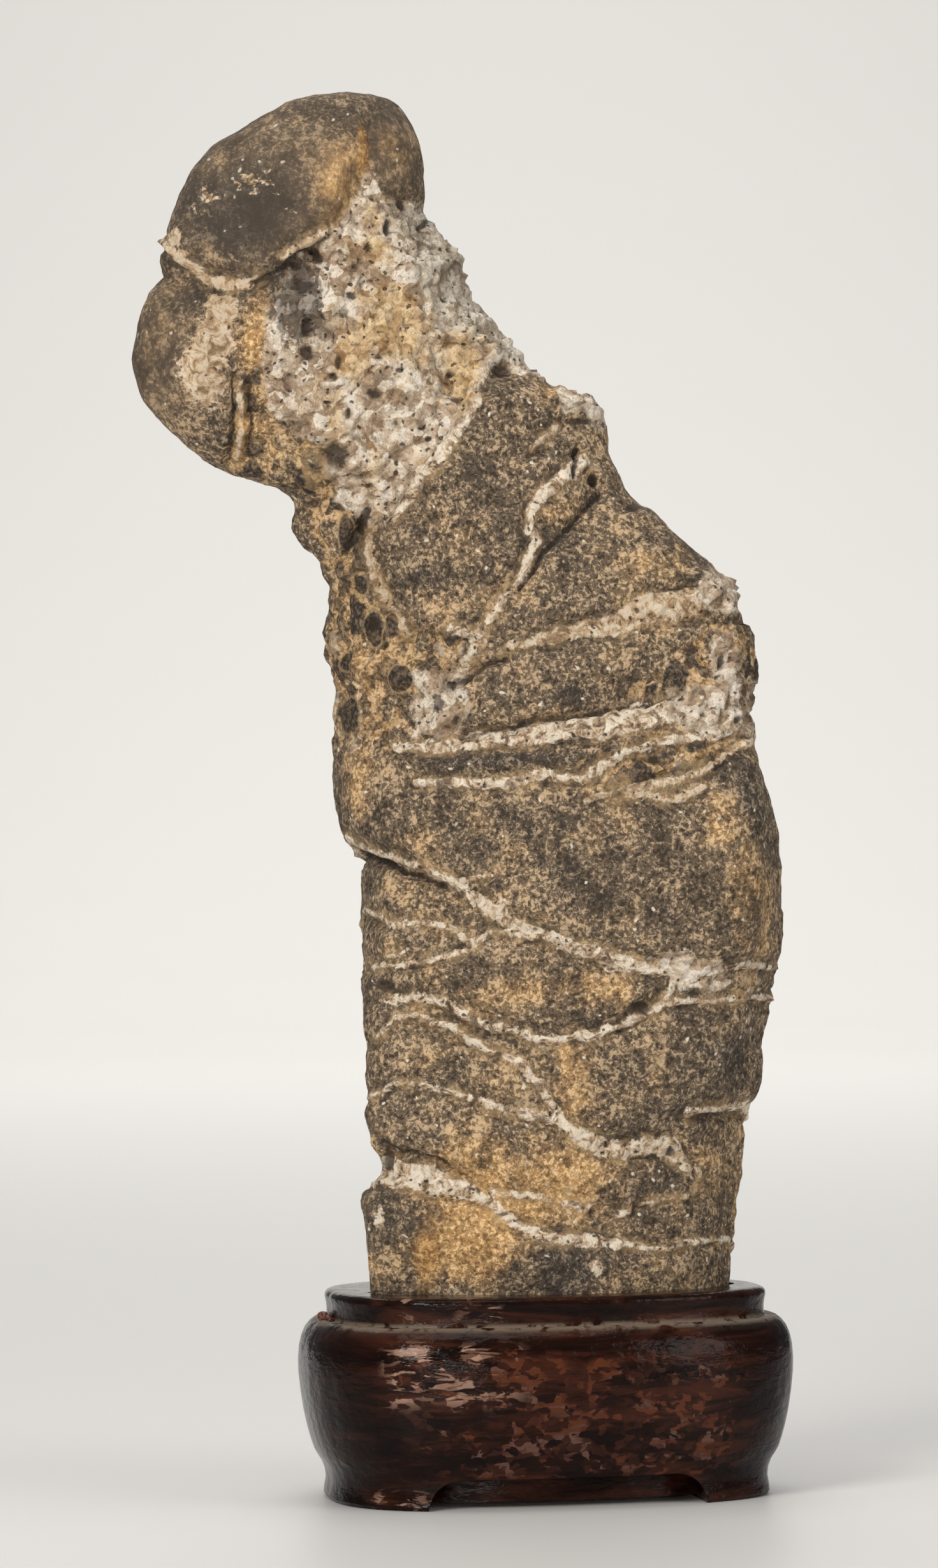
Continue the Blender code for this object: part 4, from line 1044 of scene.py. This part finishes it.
# The sweep, in metres. Its wall stands so far back that the stone can be looked at from behind.
SWEEP_HALF_WIDTH = 0.9
SWEEP_FRONT = -1.8
WALL_DISTANCE = 4.4
WALL_HEIGHT = 3.0
BEND_RADIUS = 1.8
# The viewer's lens in millimetres, and how the camera tips and rolls, in degrees.
LENS = 142.2
TIP = 90.945
ROLL = -0.5


def sweep():
    """A floor that curves up into a wall behind the stone."""
    profile = [(SWEEP_FRONT, 0.0)]
    for turn in np.radians(np.arange(0, 91, 6)):
        y = WALL_DISTANCE - BEND_RADIUS * (1 - math.sin(turn))
        profile.append((y, BEND_RADIUS * (1 - math.cos(turn))))
    profile.append((WALL_DISTANCE, WALL_HEIGHT))
    bm = bmesh.new()
    verts = [bm.verts.new((-SWEEP_HALF_WIDTH, y, z)) for y, z in profile]
    edges = [bm.edges.new(pair) for pair in zip(verts, verts[1:])]
    swept = bmesh.ops.extrude_edge_only(bm, edges=edges)
    moved = [item for item in swept["geom"] if isinstance(item, bmesh.types.BMVert)]
    bmesh.ops.translate(bm, verts=moved, vec=(2 * SWEEP_HALF_WIDTH, 0, 0))
    bmesh.ops.recalc_face_normals(bm, faces=bm.faces)
    bmesh.ops.rotate(bm, verts=bm.verts, cent=(0, 0, 0), matrix=Matrix.Rotation(STONE_TURN, 3, "Z"))
    return bm


def in_view(u, v, z):
    """A place to the viewer's right, away from the viewer and up, from millimetres to world metres."""
    turn = Matrix.Rotation(STONE_TURN, 3, "Z")
    return turn @ Vector((u, v, z)) * MM + Vector((STAND_X * MM, 0, 0))


def add_light(name, place, aim, power, size, color=(1, 1, 1)):
    light = bpy.data.lights.new(name, "AREA")
    light.energy = power
    light.shape = "RECTANGLE"
    light.size, light.size_y = size
    light.color = color
    obj = bpy.data.objects.new(name, light)
    bpy.context.scene.collection.objects.link(obj)
    obj.location = in_view(*place)
    obj.rotation_euler = (in_view(*aim) - obj.location).to_track_quat("-Z", "Y").to_euler()
    obj.visible_camera = False


def add_camera():
    """The viewer's eye: about a metre away, level with the middle of the stone."""
    camera = bpy.data.cameras.new("viewer")
    camera.lens = LENS
    camera.sensor_width = 36.0
    camera.clip_start = 0.01
    obj = bpy.data.objects.new("viewer", camera)
    bpy.context.scene.collection.objects.link(obj)
    turn = Matrix.Rotation(STONE_TURN, 4, "Z")
    tilt = Matrix.Rotation(math.radians(TIP), 4, "X")
    roll = Matrix.Rotation(math.radians(ROLL), 4, "Z")
    place = in_view(EYE_U + STONE_SHIFT, -EYE_DISTANCE, EYE_Z)
    obj.matrix_world = Matrix.Translation(place) @ turn @ tilt @ roll
    bpy.context.scene.camera = obj


class VIEWSTONE_OT_stage(bpy.types.Operator):
    """Add the pale floor and wall, the soft lights and the camera"""

    bl_idname = "viewstone.stage"
    bl_label = "Studio"

    def execute(self, context):
        backdrop = piece_from(sweep(), "backdrop", plain_material("pale paper", (0.745, 0.74, 0.725), 0.4))
        backdrop.data.shade_smooth()
        middle = (-10, 0, 110)
        add_light("key", (-560, -940, 620), middle, 9.5, (0.4, 0.4), (1.0, 0.965, 0.925))
        add_light("glint", (-90, -1080, 130), (-15, 0, 25), 2.2, (0.62, 0.06), (1.0, 0.89, 0.80))
        add_light("top", (-50, -150, 1400), middle, 6.5, (0.9, 0.9), (1.0, 0.985, 0.965))
        add_light("fill", (950, -600, 450), middle, 4, (0.6, 0.6), (1.0, 0.97, 0.94))
        add_light("far floor", (0, 1500, 1500), (0, 1800, 0), 18.5, (1.4, 1.6), (1.0, 0.98, 0.95))
        add_light("wall", (0, 2500, 1900), (0, 3700, 300), 32, (1.6, 1.0), (1.0, 0.975, 0.93))
        world = bpy.data.worlds.new("studio")
        world.use_nodes = True
        background = world.node_tree.nodes["Background"]
        background.inputs["Color"].default_value = (0.97, 0.98, 1.0, 1.0)
        background.inputs["Strength"].default_value = 0.12
        context.scene.world = world
        context.scene.view_settings.view_transform = "Standard"
        add_camera()
        return {"FINISHED"}


class VIEWSTONE_PT_panel(bpy.types.Panel):
    """Lists the pieces of the viewing stone"""

    bl_idname = "VIEWSTONE_PT_panel"
    bl_label = "Viewing stone"
    bl_space_type = "VIEW_3D"
    bl_region_type = "UI"
    bl_category = "Viewing stone"

    def draw(self, context):
        layout = self.layout
        for operator in OPERATORS:
            layout.operator(operator.bl_idname)
        for group in (context.scene.viewstone_stone, context.scene.viewstone_stand):
            for name in group.__annotations__:
                layout.prop(group, name)


GROUPS = (StoneSizes, StandSizes)
OPERATORS = (VIEWSTONE_OT_stone, VIEWSTONE_OT_stand, VIEWSTONE_OT_crumbs, VIEWSTONE_OT_stage)


def register():
    for cls in (*GROUPS, *OPERATORS, VIEWSTONE_PT_panel):
        bpy.utils.register_class(cls)
    bpy.types.Scene.viewstone_stone = PointerProperty(type=StoneSizes)
    bpy.types.Scene.viewstone_stand = PointerProperty(type=StandSizes)


def unregister():
    del bpy.types.Scene.viewstone_stone
    del bpy.types.Scene.viewstone_stand
    for cls in reversed((*GROUPS, *OPERATORS, VIEWSTONE_PT_panel)):
        bpy.utils.unregister_class(cls)


def main():
    register()
    bpy.ops.viewstone.stone()
    bpy.ops.viewstone.stand()
    bpy.ops.viewstone.crumbs()
    bpy.ops.viewstone.stage()


if __name__ == "__main__":
    main()
